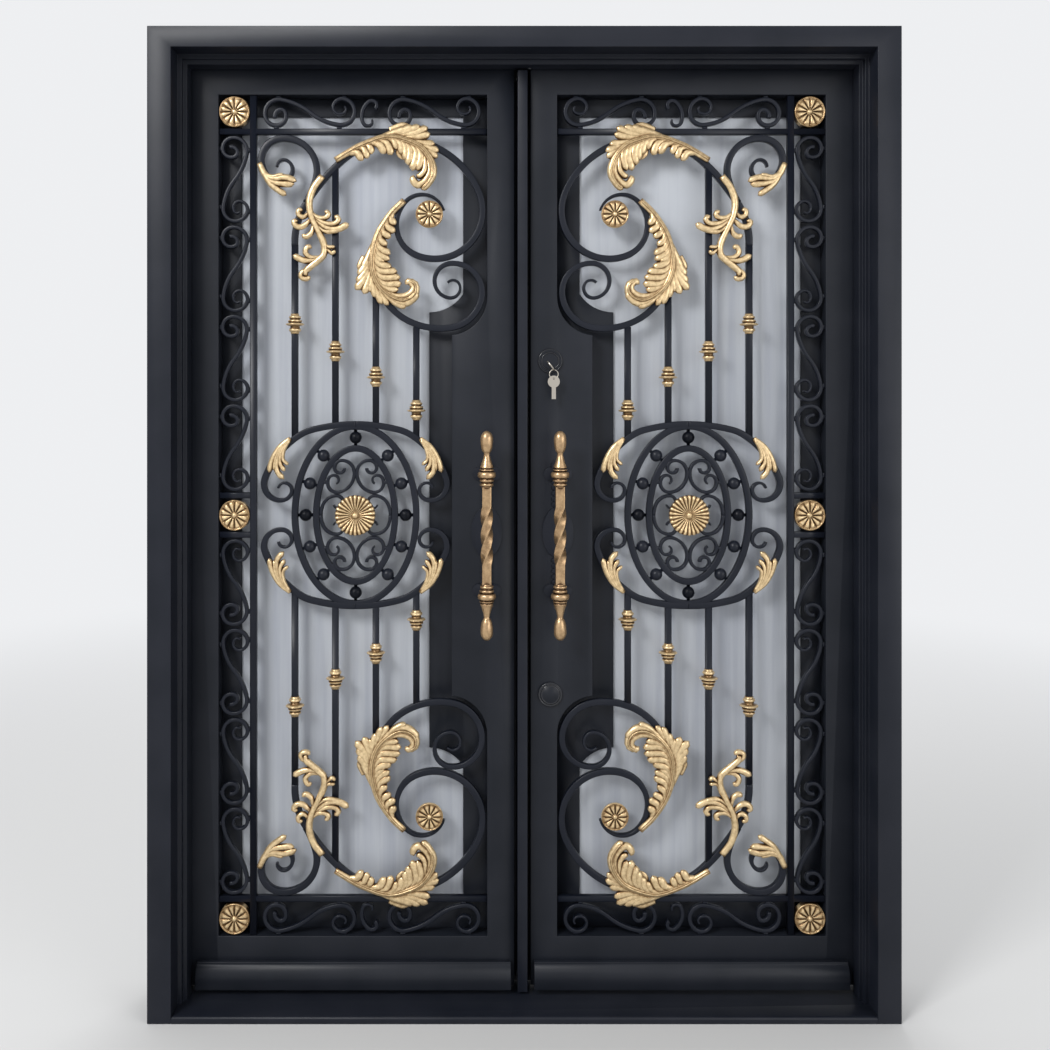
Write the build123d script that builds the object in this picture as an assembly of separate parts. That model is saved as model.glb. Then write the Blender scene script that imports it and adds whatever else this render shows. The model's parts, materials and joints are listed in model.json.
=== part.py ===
from build123d import *
import os
from math import atan2, cos, degrees, radians, sin

os.makedirs("parts", exist_ok=True)

# Frame: millimetres, +X to the right seen from outside, +Y into the house, +Z up.
# The origin is the centre of the sill's bottom face, so outdoor faces point to -Y.

# Door frame
FRAME_WIDTH = 1575.0
FRAME_HEIGHT = 2083.0
FRAME_DEPTH = 165.0
JAMB_FACE = 50.0
HEAD_FACE = 44.0
OUTER_STEP_DEPTH = 49.0
OUTER_STEP = 9.0
INNER_STEP_DEPTH = 12.0
INNER_STEP = 8.5
STOP_DEPTH = 37.0
REBATE_DEPTH = 30.5
SILL_THICKNESS = 14.0
SILL_NOSE = 6.0

# Running clearances round the two leaves
STOP_GAP = 5.0
EDGE_GAP = 6.0
FLOOR_GAP = 11.0
MEETING_GAP = 36.0
EDGE_BEVEL = 4.5

# Leaf
LEAF_THICKNESS = 60.0
HINGE_STILE_WIDTH = 81.5
LOCK_STILE_WIDTH = 58.5
TOP_RAIL_HEIGHT = 77.5
BOTTOM_RAIL_HEIGHT = 106.5
LOCK_PLATE_WIDTH = 135.6
LOCK_PLATE_HEIGHT = 788.0
LOCK_ARC_RADIUS = 84.8

# Glass sash in a rebate at the back of the leaf, with its pane and bead
SASH_THICKNESS = 20.0
SASH_OVERLAP = 10.0
SASH_CLEARANCE = 2.0
GLASS_HINGE_SIDE = 42.0
GLASS_LOCK_SIDE = 53.0
GLASS_TOP = 38.0
GLASS_BOTTOM = 58.0
GLASS_STEP = 75.0
GLASS_STEP_RADIUS = 89.5
GLASS_ABOVE_PLATE = 53.0
GLASS_BELOW_PLATE = 126.0
SASH_LIP = 6.0
PANE_THICKNESS = 8.0
PANE_EDGE = 8.0
BEAD_WIDTH = 14.0

# Astragal on the left leaf, over the meeting gap
ASTRAGAL_WIDTH = 21.4
ASTRAGAL_PROUD = 20.0
ASTRAGAL_CAP_DEPTH = 18.0
ASTRAGAL_STEM = 8.0
ASTRAGAL_WEB = 10.0
ASTRAGAL_HEAD_GAP = 5.0
ASTRAGAL_FLOOR_GAP = 6.0

# Drip moulding along the foot of each leaf
DRIP_FOOT = 2.0
DRIP_HEIGHT = 54.0
DRIP_PROUD = 25.0
DRIP_NOSE = 16.0
DRIP_FLANGE = 5.0
DRIP_FLANGE_PROUD = 12.0
DRIP_LOCK_END = 7.5
DRIP_HINGE_END = 36.5

# Barrel hinges on the back
HINGE_PIN_X = 3.0
HINGE_PIN_Y = 10.0
HINGE_RADIUS = 9.0
HINGE_PIN_RADIUS = 5.0
HINGE_RUNNING_CLEARANCE = 0.05
HINGE_KNUCKLE = 70.0
HINGE_WASHER_GAP = 1.0
HINGE_TAB = 12.0
HINGE_HEIGHTS = (260.0, 1035.0, 1810.0)

# Ironwork: depths count back from the leaf's front face
BAR_WIDTH = 14.0
BAR_DEPTH = 14.0
BAR_BACK_SET = 4.0
BORDER_BAR_WIDTH = 14.6
BORDER_BAR_CENTRE = 74.6
BORDER_RAIL_WIDTH = 13.0
BORDER_RAIL_CENTRE = 78.8
MIDDLE_RAIL_OFFSET = 43.0
STRAP_WIDTH = 8.0
STRAP_DEPTH = 12.0
STRAP_BACK_SET = 5.0
TIP_WIDTH = 5.0
WELD = 10.0
WELD_LAP = 4.0
WELD_PLACES = ((1, 64.0), (-1, 68.0), (-1, -60.0), (1, -70.0))

# Main panel, between the border bar and the lock plate. Its scrolls are drawn
# for a panel this wide and grow or shrink with the real one.
DRAWN_PANEL_WIDTH = 427.5
PANEL_SHIFT = 2.6
BAR_PITCH = 88.7
MEDALLION_OUTER = (133.0, 194.0)
MEDALLION_INNER = (86.2, 146.0)
MEDALLION_BAR = 14.0
BALL_CLEARANCE = 2.9
BALL_PIN_RADIUS = 3.5
BALL_ANGLES = (0.0, 24.0, 50.0, 90.0)
HEART_BAR = 7.0
THIN_TIP = 4.0

# Border scrolls: the S is drawn for a column this wide, one to each length of column
DRAWN_STRAP_WIDTH = 67.3
STRAP_LENGTH = 180.0
ROW_REACH = 0.54

# Rosettes, with the daisy in the medallion
ROSETTE_BACKING = 4.0
ROSETTE_BACKING_LAP = 2.0
ROSETTE_PETALS = 12
ROSETTE_RIM = 2.6
ROSETTE_DISH = 4.0
ROSETTE_PROUD = 4.0
BOSS_RADIUS = 6.0
BOSS_HEIGHT = 4.5
SCROLL_ROSETTE_RADIUS = 30.0
DAISY_RADIUS = 43.0
DAISY_PETALS = 26
DAISY_BOSS = 9.0
PETAL_SHOULDER = 0.8
PETAL_GAP = 1.6

# Turned collars on the upright bars
COLLAR_LENGTH = 44.0
COLLAR_NECK = 9.5
COLLAR_RING = 13.0
COLLAR_SHOULDER = 15.0
COLLAR_DISC = 20.5

# Acanthus leaves
LEAF_BLADE_PROUD = 4.0
LEAF_LOBE_DROP = 2.0
LEAF_RIB_RISE = 2.0
LEAF_RIB_WIDTH = 5.0

# Pull handles
HANDLE_X = 78.0
HANDLE_CENTRE_Z = 1013.5
HANDLE_LENGTH = 446.0
HANDLE_STANDOFF = 60.0
HANDLE_SHAFT_SIDE = 20.0
HANDLE_END_LENGTH = 119.0
HANDLE_TURN = 270.0
HANDLE_TWIST_LENGTH = 124.0
HANDLE_FINIAL_RADIUS = 14.0
HANDLE_NECK_RADIUS = 5.5
HANDLE_BULB_RADIUS = 21.4
HANDLE_BULB_DROP = 96.0
HANDLE_POST_RADIUS = 9.0

# Backplate behind each handle
HANDLE_PLATE_THICKNESS = 4.0
PLATE_OVAL = (34.0, 55.0)
PLATE_STEM_WIDTH = 16.0
PLATE_BEAD_RADIUS = 5.0
PLATE_BEAD_PITCH = 12.0
PLATE_FOIL_RADIUS = 14.0
PLATE_FOIL_REACH = 17.0

# Locks on the right leaf
LOCK_X = 61.0
LOCK_CYLINDER_Z = 1387.0
LOCK_CYLINDER_RADIUS = 26.5
LOCK_CYLINDER_PROUD = 6.0
LOCK_RING = 3.0
LOCK_BARREL_RADIUS = 7.0
LOCK_BARREL_DROP = 11.0
LOWER_LOCK_Z = 660.0
LOWER_LOCK_RADIUS = 27.0
LOWER_LOCK_FOOT = 3.0
LOWER_LOCK_DOME = 9.0
KEY_THICKNESS = 2.2
KEY_BOW_RADIUS = 13.0
KEY_LEAN = 37.0
KEY_BLADE = (9.0, 27.0)
KEY_RING_RADIUS = 9.5
KEY_RING_WIRE = 1.1

FRONT = -FRAME_DEPTH / 2
BACK = FRAME_DEPTH / 2
STEP_1_Y = FRONT + OUTER_STEP_DEPTH
STEP_2_Y = STEP_1_Y + INNER_STEP_DEPTH
STOP_Y = STEP_2_Y + STOP_DEPTH
LEAF_FRONT = STOP_Y + STOP_GAP
LEAF_BACK = LEAF_FRONT + LEAF_THICKNESS
STOP_REACH = OUTER_STEP + INNER_STEP

HALF_WIDTH = FRAME_WIDTH / 2
REBATE_X = HALF_WIDTH - JAMB_FACE - STOP_REACH + REBATE_DEPTH
REBATE_Z = FRAME_HEIGHT - HEAD_FACE - STOP_REACH + REBATE_DEPTH
STOP_Z = FRAME_HEIGHT - HEAD_FACE - STOP_REACH

HINGE_EDGE = REBATE_X - EDGE_GAP
LOCK_EDGE = MEETING_GAP / 2
LEAF_BOTTOM = SILL_THICKNESS + FLOOR_GAP
LEAF_TOP = REBATE_Z - EDGE_GAP
OPENING_TOP = LEAF_TOP - TOP_RAIL_HEIGHT
OPENING_BOTTOM = LEAF_BOTTOM + BOTTOM_RAIL_HEIGHT
OPENING_CENTRE_Z = (OPENING_TOP + OPENING_BOTTOM) / 2
OPENING_HINGE = HINGE_EDGE - HINGE_STILE_WIDTH
OPENING_LOCK = LOCK_EDGE + LOCK_STILE_WIDTH
OPENING_WIDTH = OPENING_HINGE - OPENING_LOCK
LEAF_CENTRE = (OPENING_HINGE + OPENING_LOCK) / 2
HALF_U = OPENING_WIDTH / 2
HALF_V = (OPENING_TOP - OPENING_BOTTOM) / 2
V_TOP = LEAF_TOP - OPENING_CENTRE_Z
V_BOTTOM = LEAF_BOTTOM - OPENING_CENTRE_Z
SASH_FRONT = LEAF_BACK - SASH_THICKNESS
GLASS_STEP_TOP = LOCK_PLATE_HEIGHT / 2 + GLASS_ABOVE_PLATE
GLASS_STEP_BOTTOM = -LOCK_PLATE_HEIGHT / 2 - GLASS_BELOW_PLATE

PIN_X = HINGE_EDGE + HINGE_PIN_X
PIN_Y = BACK + HINGE_PIN_Y

BAR_FRONT = LEAF_FRONT + BAR_BACK_SET
BAR_MIDDLE = BAR_FRONT + BAR_DEPTH / 2
PANEL_HINGE = -HALF_U + BORDER_BAR_CENTRE + BORDER_BAR_WIDTH / 2
PANEL_LOCK = LEAF_CENTRE - LOCK_EDGE - LOCK_PLATE_WIDTH
PANEL_CENTRE = (PANEL_HINGE + PANEL_LOCK) / 2 + PANEL_SHIFT
PANEL_TOP = HALF_V - BORDER_RAIL_CENTRE
PANEL_GROWTH = (PANEL_LOCK - PANEL_HINGE) / DRAWN_PANEL_WIDTH
BALL_ROOM = (MEDALLION_OUTER[0] - MEDALLION_INNER[0]) * PANEL_GROWTH - MEDALLION_BAR
BALL_RADIUS = BALL_ROOM / 2 - BALL_CLEARANCE

COLUMN_WIDTH = BORDER_BAR_CENTRE - BORDER_BAR_WIDTH / 2
COLUMN_U = -HALF_U + COLUMN_WIDTH / 2
COLUMN_LOW = MIDDLE_RAIL_OFFSET + BORDER_RAIL_WIDTH / 2
COLUMN_HIGH = PANEL_TOP - BORDER_RAIL_WIDTH / 2
COLUMN_SCROLLS = int((COLUMN_HIGH - COLUMN_LOW) // STRAP_LENGTH)
ROW_HEIGHT = BORDER_RAIL_CENTRE - BORDER_RAIL_WIDTH / 2
ROW_V = HALF_V - ROW_HEIGHT / 2
ROW_CENTRE = (PANEL_HINGE + HALF_U) / 2
ROW_HALF = (HALF_U - PANEL_HINGE) / 2
ROSETTE_RADIUS = COLUMN_WIDTH / 2

HANDLE_U = LEAF_CENTRE - HANDLE_X
HANDLE_Y = LEAF_FRONT - HANDLE_STANDOFF
HANDLE_Z = HANDLE_CENTRE_Z - OPENING_CENTRE_Z
HANDLE_BULB_RISE = HANDLE_LENGTH / 2 - HANDLE_BULB_DROP


# Leaf coordinates: u runs from the middle of the opening towards the meeting
# edge and v runs up, so one drawing serves the left leaf and, mirrored, the right.


def slab(sketch, front, depth):
    """Extrude a drawing made in (u, v) from y = front back to front + depth."""
    return extrude(Plane.XZ.offset(-(front + depth)) * sketch, amount=depth)


def box_uv(u_from, u_to, v_from, v_to, front, depth):
    size = (u_to - u_from, depth, v_to - v_from)
    centre = ((u_from + u_to) / 2, front + depth / 2, (v_from + v_to) / 2)
    return Pos(*centre) * Box(*size)


def rect_uv(u_from, u_to, v_from, v_to):
    centre = ((u_from + u_to) / 2, (v_from + v_to) / 2)
    return Pos(*centre) * Rectangle(u_to - u_from, v_to - v_from)


def flip_v(shape):
    return mirror(shape, about=Plane.XY)


def flip_sketch_v(sketch):
    return mirror(sketch, about=Plane.XZ)


def flip_sketch_u(sketch):
    return mirror(sketch, about=Plane.YZ)


def move_along(point, heading, radius, turn):
    """The point reached along an arc; a positive turn is to the left."""
    side = 90.0 if turn > 0 else -90.0
    centre_angle = radians(heading + side)
    cx = point[0] + radius * cos(centre_angle)
    cy = point[1] + radius * sin(centre_angle)
    start_angle = centre_angle + radians(180.0 + turn)
    return (cx + radius * cos(start_angle), cy + radius * sin(start_angle))


def beside(point, heading, distance):
    angle = radians(heading + 90.0)
    return (point[0] + distance * cos(angle), point[1] + distance * sin(angle))


def scroll(start, heading, bends, width, tip=TIP_WIDTH, taper_from=0, head=None):
    """A flat bar that follows tangent arcs.

    bends holds (radius, turn) pairs. The bar keeps its width up to the bend
    number taper_from and then thins evenly to tip. head is the width that it
    starts with when it is thin at both ends.
    """
    lengths = [radius * radians(abs(turn)) for radius, turn in bends]
    taper_length = sum(lengths[taper_from:])
    head_length = lengths[0] + lengths[1] if len(lengths) > 1 else lengths[0]

    def half_width(travelled):
        half = width / 2
        before = sum(lengths[:taper_from])
        if travelled > before:
            share = (travelled - before) / taper_length
            half = (width + (tip - width) * share) / 2
        if head and travelled < head_length:
            half = min(half, (head + (width - head) * travelled / head_length) / 2)
        return half

    left, right = [], []
    point, direction, travelled = start, heading, 0.0
    for (radius, turn), length in zip(bends, lengths):
        stations = []
        for share in (0.0, 0.5, 1.0):
            here = move_along(point, direction, radius, turn * share) if share else point
            facing = direction + turn * share
            half = half_width(travelled + length * share)
            stations.append((beside(here, facing, half), beside(here, facing, -half)))
        left.append(ThreePointArc(*(pair[0] for pair in stations)))
        right.append(ThreePointArc(*(pair[1] for pair in stations)))
        point = move_along(point, direction, radius, turn)
        direction += turn
        travelled += length
    end_half = half_width(travelled)
    nose = beside(point, direction - 90.0, end_half)
    cap = ThreePointArc(left[-1] @ 1, nose, right[-1] @ 1)
    foot = Line(left[0] @ 0, right[0] @ 0)
    return make_face(left + [cap] + right + [foot])


def lobe(root, heading, length, width):
    """A leaf lobe: two arcs from its root to a pointed tip."""
    angle = radians(heading)
    tip = (root[0] + length * cos(angle), root[1] + length * sin(angle))
    middle = (root[0] + length * 0.45 * cos(angle), root[1] + length * 0.45 * sin(angle))
    sides = [ThreePointArc(root, beside(middle, heading, side * width / 2), tip) for side in (1, -1)]
    return make_face(sides)


# Panel drawings: u from the medallion's axis; scrolls that hang from the top bar
# count down from it, and the medallion's own pieces count up from its centre

SCROLL_1 = {
    "start": (-1.5 * BAR_PITCH, 249.7),
    "heading": 93.0,
    "bends": [(156, -34), (425, -17), (189, -110), (105, -134), (71, -56), (75, -54), (50, -120)],
}
SCROLL_2 = {
    "start": (106.0, 151.7),
    "heading": -141.0,
    "bends": [(179, 50), (139, 67), (157, 32), (81, 72), (64, 104), (38.5, 123), (36.5, 45), (21.5, 117), (15.5, 120)],
}
SCROLL_A = {
    "start": (-109.0, 155.7),
    "heading": 59.0,
    "bends": [(196, 17), (71, 113), (47.5, 106), (64, 23), (30, 106), (23, 88), (15, 120)],
}
SCROLL_ROSETTE = (162.0, 181.7)
BRACKET = {
    "start": (0.0, 199.0),
    "heading": 180.0,
    "bends": [(375, 15), (90, 17), (188, 38), (36, 120), (23, 67), (16.5, 93), (14, 90)],
}
HEART = {
    "start": (-24.5, 102.5),
    "heading": -88.0,
    "bends": [
        (10, -90), (11.5, -94), (16, -83), (26, -84), (41.5, -90), (21, -130), (12.5, -82), (10, -93), (8.5, -40),
    ],
}
SIDE_C = {
    "start": (-76.0, 0.0),
    "heading": 90.0,
    "bends": [(60, -20), (33, -70), (14, -150), (9, -110)],
}
HEART_WELDS = ((-49.0, 111.0, -50.0), (-66.0, 72.0, 0.0))

# Upright bars by their place in pitches: how far the top end lies below the top
# bar, where the foot stands on the medallion, and how high the collar sits on it
BARS = {
    -1.5: {"drop": 249.7, "foot": 166.0, "collar": 253.0},
    -0.5: {"drop": 75.7, "foot": 195.0, "collar": 164.0},
    0.5: {"drop": 334.7, "foot": 195.0, "collar": 108.0},
    1.5: {"drop": 427.7, "foot": 166.0, "collar": 64.0},
}

S_SCROLL = {
    "start": (-11.2, 71.0),
    "heading": 15.0,
    "bends": [
        (13.6, -87), (9.8, -87), (19.3, -110), (23.6, -81), (28.7, -110.5), (136, -28),
        (114, 32.5), (27, 168), (19.5, 83), (14.2, 53), (14.4, 103), (7.6, 100),
    ],
}
SMALL_C = {
    "start": (6.6, 8.0),
    "heading": 37.0,
    "bends": [(9.5, 110), (12, 73), (40, 70), (12, 73), (9.5, 110)],
}

# Leaves: the blade's path as above, and its lobes by distance along the path,
# turn from the path, length and width
FRONT_LEAVES = (
    {
        "start": (-41.0, 70.7), "heading": 44.0, "bends": [(191, -58), (60, -78), (35, -70)],
        "width": 26.0, "head": 14.0, "full": 1,
        "lobes": [
            (64, -80, 36, 22), (112, -66, 42, 24), (150, -75, 50, 26), (182, -80, 66, 34),
            (143, 22, 72, 26), (205, 25, 40, 24), (245, 40, 30, 16),
        ],
    },
    {
        "start": (106.0, 151.7), "heading": -141.0, "bends": [(179, 50), (85, 75), (28, 120), (14, 100)],
        "width": 26.0, "head": 14.0, "full": 2,
        "lobes": [
            (70, 68, 34, 22), (115, 43, 46, 24), (140, 60, 56, 26), (165, 49, 74, 34),
            (120, -25, 38, 16), (168, -45, 58, 28), (172, -20, 58, 24), (205, -20, 46, 22),
        ],
    },
    {
        "start": (-71.9, 98.1), "heading": -140.0,
        "bends": [(70, 45), (100, 34), (90, -36), (30, -50), (40, 40)],
        "width": 16.0, "head": 12.0, "full": 2,
        "lobes": [
            (75, -80, 32, 12), (90, -74, 48, 14), (110, -50, 36, 12), (95, 90, 34, 12), (104, 72, 46, 14),
            (110, 60, 74, 18), (165, 88, 32, 11), (180, -100, 32, 12), (185, -60, 58, 14),
        ],
    },
    {
        "start": (-209.8, 69.9), "heading": -80.0, "bends": [(62, 62), (45, 50)],
        "width": 18.0, "head": 10.0, "full": 1,
        "lobes": [(50, -20, 46, 18), (58, 10, 44, 16)],
    },
)
CORNER_LEAF = {
    "start": (-141.0, 170.0), "heading": -125.0, "bends": [(120, 25), (60, 20)],
    "width": 22.0, "head": 12.0, "full": 1,
    "lobes": [(34, 24, 44, 12), (30, -24, 40, 12)],
}


def from_top(place):
    return (place[0] * PANEL_GROWTH, PANEL_TOP - place[1] * PANEL_GROWTH)


def from_middle(place):
    return (place[0] * PANEL_GROWTH, place[1] * PANEL_GROWTH)


def grown(bends):
    return [(radius * PANEL_GROWTH, turn) for radius, turn in bends]


def hung_scroll(drawing, **widths):
    return scroll(from_top(drawing["start"]), drawing["heading"], grown(drawing["bends"]), **widths)


def middle_scroll(drawing, **widths):
    return scroll(from_middle(drawing["start"]), drawing["heading"], grown(drawing["bends"]), **widths)


def panel(shape):
    return Pos(PANEL_CENTRE, 0, 0) * shape


def four_ways(sketch):
    half = sketch + flip_sketch_u(sketch)
    return half + flip_sketch_v(half)


def ellipse_ring(centre_line):
    u, v = from_middle(centre_line)
    half = MEDALLION_BAR / 2
    return Ellipse(u + half, v + half) - Ellipse(u - half, v - half)


def frame_profile(face):
    """Section of head or jamb: outer face at 0, stepping in to the stop, then the leaf rebate."""
    first = face + OUTER_STEP
    second = first + INNER_STEP
    return [
        (0, FRONT),
        (face, FRONT),
        (face, STEP_1_Y),
        (first, STEP_1_Y),
        (first, STEP_2_Y),
        (second, STEP_2_Y),
        (second, STOP_Y),
        (second - REBATE_DEPTH, STOP_Y),
        (second - REBATE_DEPTH, BACK),
        (0, BACK),
    ]


def frame_head():
    section = [(y, FRAME_HEIGHT - inset) for inset, y in frame_profile(HEAD_FACE)]
    face = make_face(Polyline(*section, close=True))
    return Pos(-HALF_WIDTH, 0, 0) * extrude(Plane.YZ * face, amount=FRAME_WIDTH)


def frame_jamb_left(head):
    section = [(inset - HALF_WIDTH, y) for inset, y in frame_profile(JAMB_FACE)]
    face = make_face(Polyline(*section, close=True))
    return extrude(face, amount=FRAME_HEIGHT) - head


def sill(jambs):
    half = HALF_WIDTH - JAMB_FACE
    section = Pos(0, SILL_THICKNESS / 2) * Rectangle(FRAME_DEPTH, SILL_THICKNESS)
    block = Pos(-half, 0, 0) * extrude(Plane.YZ * section, amount=2 * half)
    nose = block.edges().filter_by(Axis.X).sort_by(lambda edge: edge.center().Z - edge.center().Y)[-1]
    return fillet(nose, SILL_NOSE) - jambs


def hinge_stile():
    """From the hinge edge to the opening, rebated at the back for the sash."""
    edge = LEAF_CENTRE - HINGE_EDGE
    stile = box_uv(edge, -HALF_U, V_BOTTOM, V_TOP, LEAF_FRONT, LEAF_THICKNESS)
    return stile - sash_rebate()


def lock_plate_outline():
    """The meeting stile with its wide middle, where the lock and the handle sit."""
    edge = LEAF_CENTRE - LOCK_EDGE
    inner = edge - LOCK_PLATE_WIDTH
    top = LOCK_PLATE_HEIGHT / 2
    centre_u = HALF_U - LOCK_ARC_RADIUS
    rise = (LOCK_ARC_RADIUS**2 - (inner - centre_u) ** 2) ** 0.5
    centre_v = top + rise
    half_root = LOCK_ARC_RADIUS * cos(radians(45.0))
    upper = [
        Line((edge, V_TOP), (HALF_U, V_TOP)),
        Line((HALF_U, V_TOP), (HALF_U, centre_v)),
        ThreePointArc((HALF_U, centre_v), (centre_u + half_root, centre_v - half_root), (inner, top)),
        Line((inner, top), (inner, -top)),
        ThreePointArc((inner, -top), (centre_u + half_root, -centre_v + half_root), (HALF_U, -centre_v)),
        Line((HALF_U, -centre_v), (HALF_U, V_BOTTOM)),
        Line((HALF_U, V_BOTTOM), (edge, V_BOTTOM)),
        Line((edge, V_BOTTOM), (edge, V_TOP)),
    ]
    return make_face(upper)


def lock_stile():
    plate = slab(lock_plate_outline(), LEAF_FRONT, LEAF_THICKNESS)
    edge = LEAF_CENTRE - LOCK_EDGE
    corner = [(edge, LEAF_FRONT), (edge + 1, LEAF_FRONT), (edge + 1, LEAF_BACK), (edge - EDGE_BEVEL, LEAF_BACK)]
    bevel = extrude(make_face(Polyline(*corner, close=True)), amount=V_TOP - V_BOTTOM)
    return plate - sash_rebate() - Pos(0, 0, V_BOTTOM) * bevel


def sash_rebate():
    reach_u = HALF_U + SASH_OVERLAP + SASH_CLEARANCE
    reach_v = HALF_V + SASH_OVERLAP + SASH_CLEARANCE
    return box_uv(-reach_u, reach_u, -reach_v, reach_v, LEAF_BACK - SASH_THICKNESS, SASH_THICKNESS + 1)


def rail(v_from, v_to):
    return box_uv(-HALF_U, HALF_U, v_from, v_to, LEAF_FRONT, LEAF_THICKNESS) - sash_rebate()


def glass_outline(grow=0.0):
    """The pane's opening, narrower beside the lock plate; its steps are rounded."""
    hinge = -HALF_U + GLASS_HINGE_SIDE - grow
    lock = HALF_U - GLASS_LOCK_SIDE + grow
    narrow = lock - GLASS_STEP
    top = HALF_V - GLASS_TOP + grow
    bottom = -HALF_V + GLASS_BOTTOM - grow
    radius = GLASS_STEP_RADIUS
    edges = [Line((hinge, bottom), (hinge, top)), Line((hinge, top), (lock, top))]
    reach = (radius**2 - (lock - narrow) ** 2) ** 0.5
    drop = radius - reach
    middle_angle = radians(0.5 * degrees(atan2(lock - narrow, reach)))
    upper = GLASS_STEP_TOP - grow
    lower = GLASS_STEP_BOTTOM + grow
    middle_u = narrow + radius * sin(middle_angle)
    middle_drop = radius * (1 - cos(middle_angle))
    upper_bend = (lock, upper + drop)
    lower_bend = (lock, lower - drop)
    edges += [
        Line((lock, top), upper_bend),
        ThreePointArc(upper_bend, (middle_u, upper + middle_drop), (narrow, upper)),
        Line((narrow, upper), (narrow, lower)),
        ThreePointArc((narrow, lower), (middle_u, lower - middle_drop), lower_bend),
        Line(lower_bend, (lock, bottom)),
        Line((lock, bottom), (hinge, bottom)),
    ]
    return make_face(edges)


def glass_sash():
    reach_u = HALF_U + SASH_OVERLAP
    reach_v = HALF_V + SASH_OVERLAP
    ring = Rectangle(2 * reach_u, 2 * reach_v)
    body = slab(ring, SASH_FRONT, SASH_THICKNESS)
    body -= slab(glass_outline(), SASH_FRONT - 1, SASH_LIP + 2)
    return body - slab(glass_outline(PANE_EDGE), SASH_FRONT + SASH_LIP, SASH_THICKNESS)


def glass_pane():
    return slab(glass_outline(PANE_EDGE), SASH_FRONT + SASH_LIP, PANE_THICKNESS)


def glazing_bead():
    front = SASH_FRONT + SASH_LIP + PANE_THICKNESS
    depth = SASH_THICKNESS - SASH_LIP - PANE_THICKNESS
    ring = glass_outline(PANE_EDGE) - glass_outline(PANE_EDGE - BEAD_WIDTH)
    return slab(ring, front, depth)


def drip_moulding():
    """A quarter-round nose under a thin flange, along the foot of the leaf."""
    bottom = LEAF_BOTTOM + DRIP_FOOT
    top = bottom + DRIP_HEIGHT
    flange = top - DRIP_FLANGE
    shoulder = LEAF_FRONT - DRIP_FLANGE_PROUD
    nose = LEAF_FRONT - DRIP_PROUD
    middle = (nose + (shoulder - nose) * 0.25, bottom + DRIP_NOSE + (flange - bottom - DRIP_NOSE) * 0.6)
    edges = [
        Line((LEAF_FRONT, bottom), (LEAF_FRONT, top)),
        Line((LEAF_FRONT, top), (shoulder, top)),
        Line((shoulder, top), (shoulder, flange)),
        ThreePointArc((shoulder, flange), middle, (nose, bottom + DRIP_NOSE)),
        Line((nose, bottom + DRIP_NOSE), (nose, bottom)),
        Line((nose, bottom), (LEAF_FRONT, bottom)),
    ]
    length = HINGE_EDGE - DRIP_HINGE_END - LOCK_EDGE - DRIP_LOCK_END
    body = extrude(Plane.YZ * make_face(edges), amount=length)
    return Pos(LEAF_CENTRE - HINGE_EDGE + DRIP_HINGE_END, 0, -OPENING_CENTRE_Z) * body


def astragal():
    half = ASTRAGAL_WIDTH / 2
    front = LEAF_FRONT - ASTRAGAL_PROUD
    cap = front + ASTRAGAL_CAP_DEPTH
    section = [
        (-half, front),
        (half, front),
        (half, cap),
        (ASTRAGAL_STEM, cap),
        (ASTRAGAL_STEM, LEAF_BACK),
        (-LOCK_EDGE - EDGE_BEVEL, LEAF_BACK),
        (-LOCK_EDGE - EDGE_BEVEL * (LEAF_THICKNESS - ASTRAGAL_WEB) / LEAF_THICKNESS, LEAF_BACK - ASTRAGAL_WEB),
        (-half, LEAF_BACK - ASTRAGAL_WEB),
    ]
    bottom = SILL_THICKNESS + ASTRAGAL_FLOOR_GAP
    height = STOP_Z - ASTRAGAL_HEAD_GAP - bottom
    return Pos(0, 0, bottom) * extrude(make_face(Polyline(*section, close=True)), amount=height)


def scroll_grille(carriers):
    """Scrolls and upright bars of the main panel, cut to the pieces that carry them."""
    upper = hung_scroll(SCROLL_1, width=BAR_WIDTH, taper_from=4)
    upper += hung_scroll(SCROLL_2, width=BAR_WIDTH, taper_from=4)
    upper += hung_scroll(SCROLL_A, width=BAR_WIDTH, taper_from=3)
    for step, bar in BARS.items():
        centre, top = from_top((step * BAR_PITCH, bar["drop"]))
        foot = bar["foot"] * PANEL_GROWTH
        upper += rect_uv(centre - BAR_WIDTH / 2, centre + BAR_WIDTH / 2, foot, top)
    upper += Pos(*from_top(SCROLL_ROSETTE)) * Circle(SCROLL_ROSETTE_RADIUS - ROSETTE_BACKING_LAP)
    half = slab(upper, BAR_FRONT, BAR_DEPTH)
    return panel(Compound([half, flip_v(half)])) - carriers


def medallion():
    heart = middle_scroll(HEART, width=HEART_BAR, tip=THIN_TIP, taper_from=6)
    side_c = middle_scroll(SIDE_C, width=HEART_BAR, tip=THIN_TIP, taper_from=2)
    bars = ellipse_ring(MEDALLION_OUTER) + ellipse_ring(MEDALLION_INNER)
    bars += four_ways(middle_scroll(BRACKET, width=BAR_WIDTH, taper_from=3))
    bars += four_ways(heart)
    bars += four_ways(side_c)
    for u, v, turn in HEART_WELDS:
        bars += four_ways(Pos(*from_middle((u, v))) * Rot(0, 0, turn) * Rectangle(WELD, HEART_BAR))
    bars += Circle(DAISY_RADIUS - WELD_LAP)
    return panel(slab(bars, BAR_FRONT, BAR_DEPTH))


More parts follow.
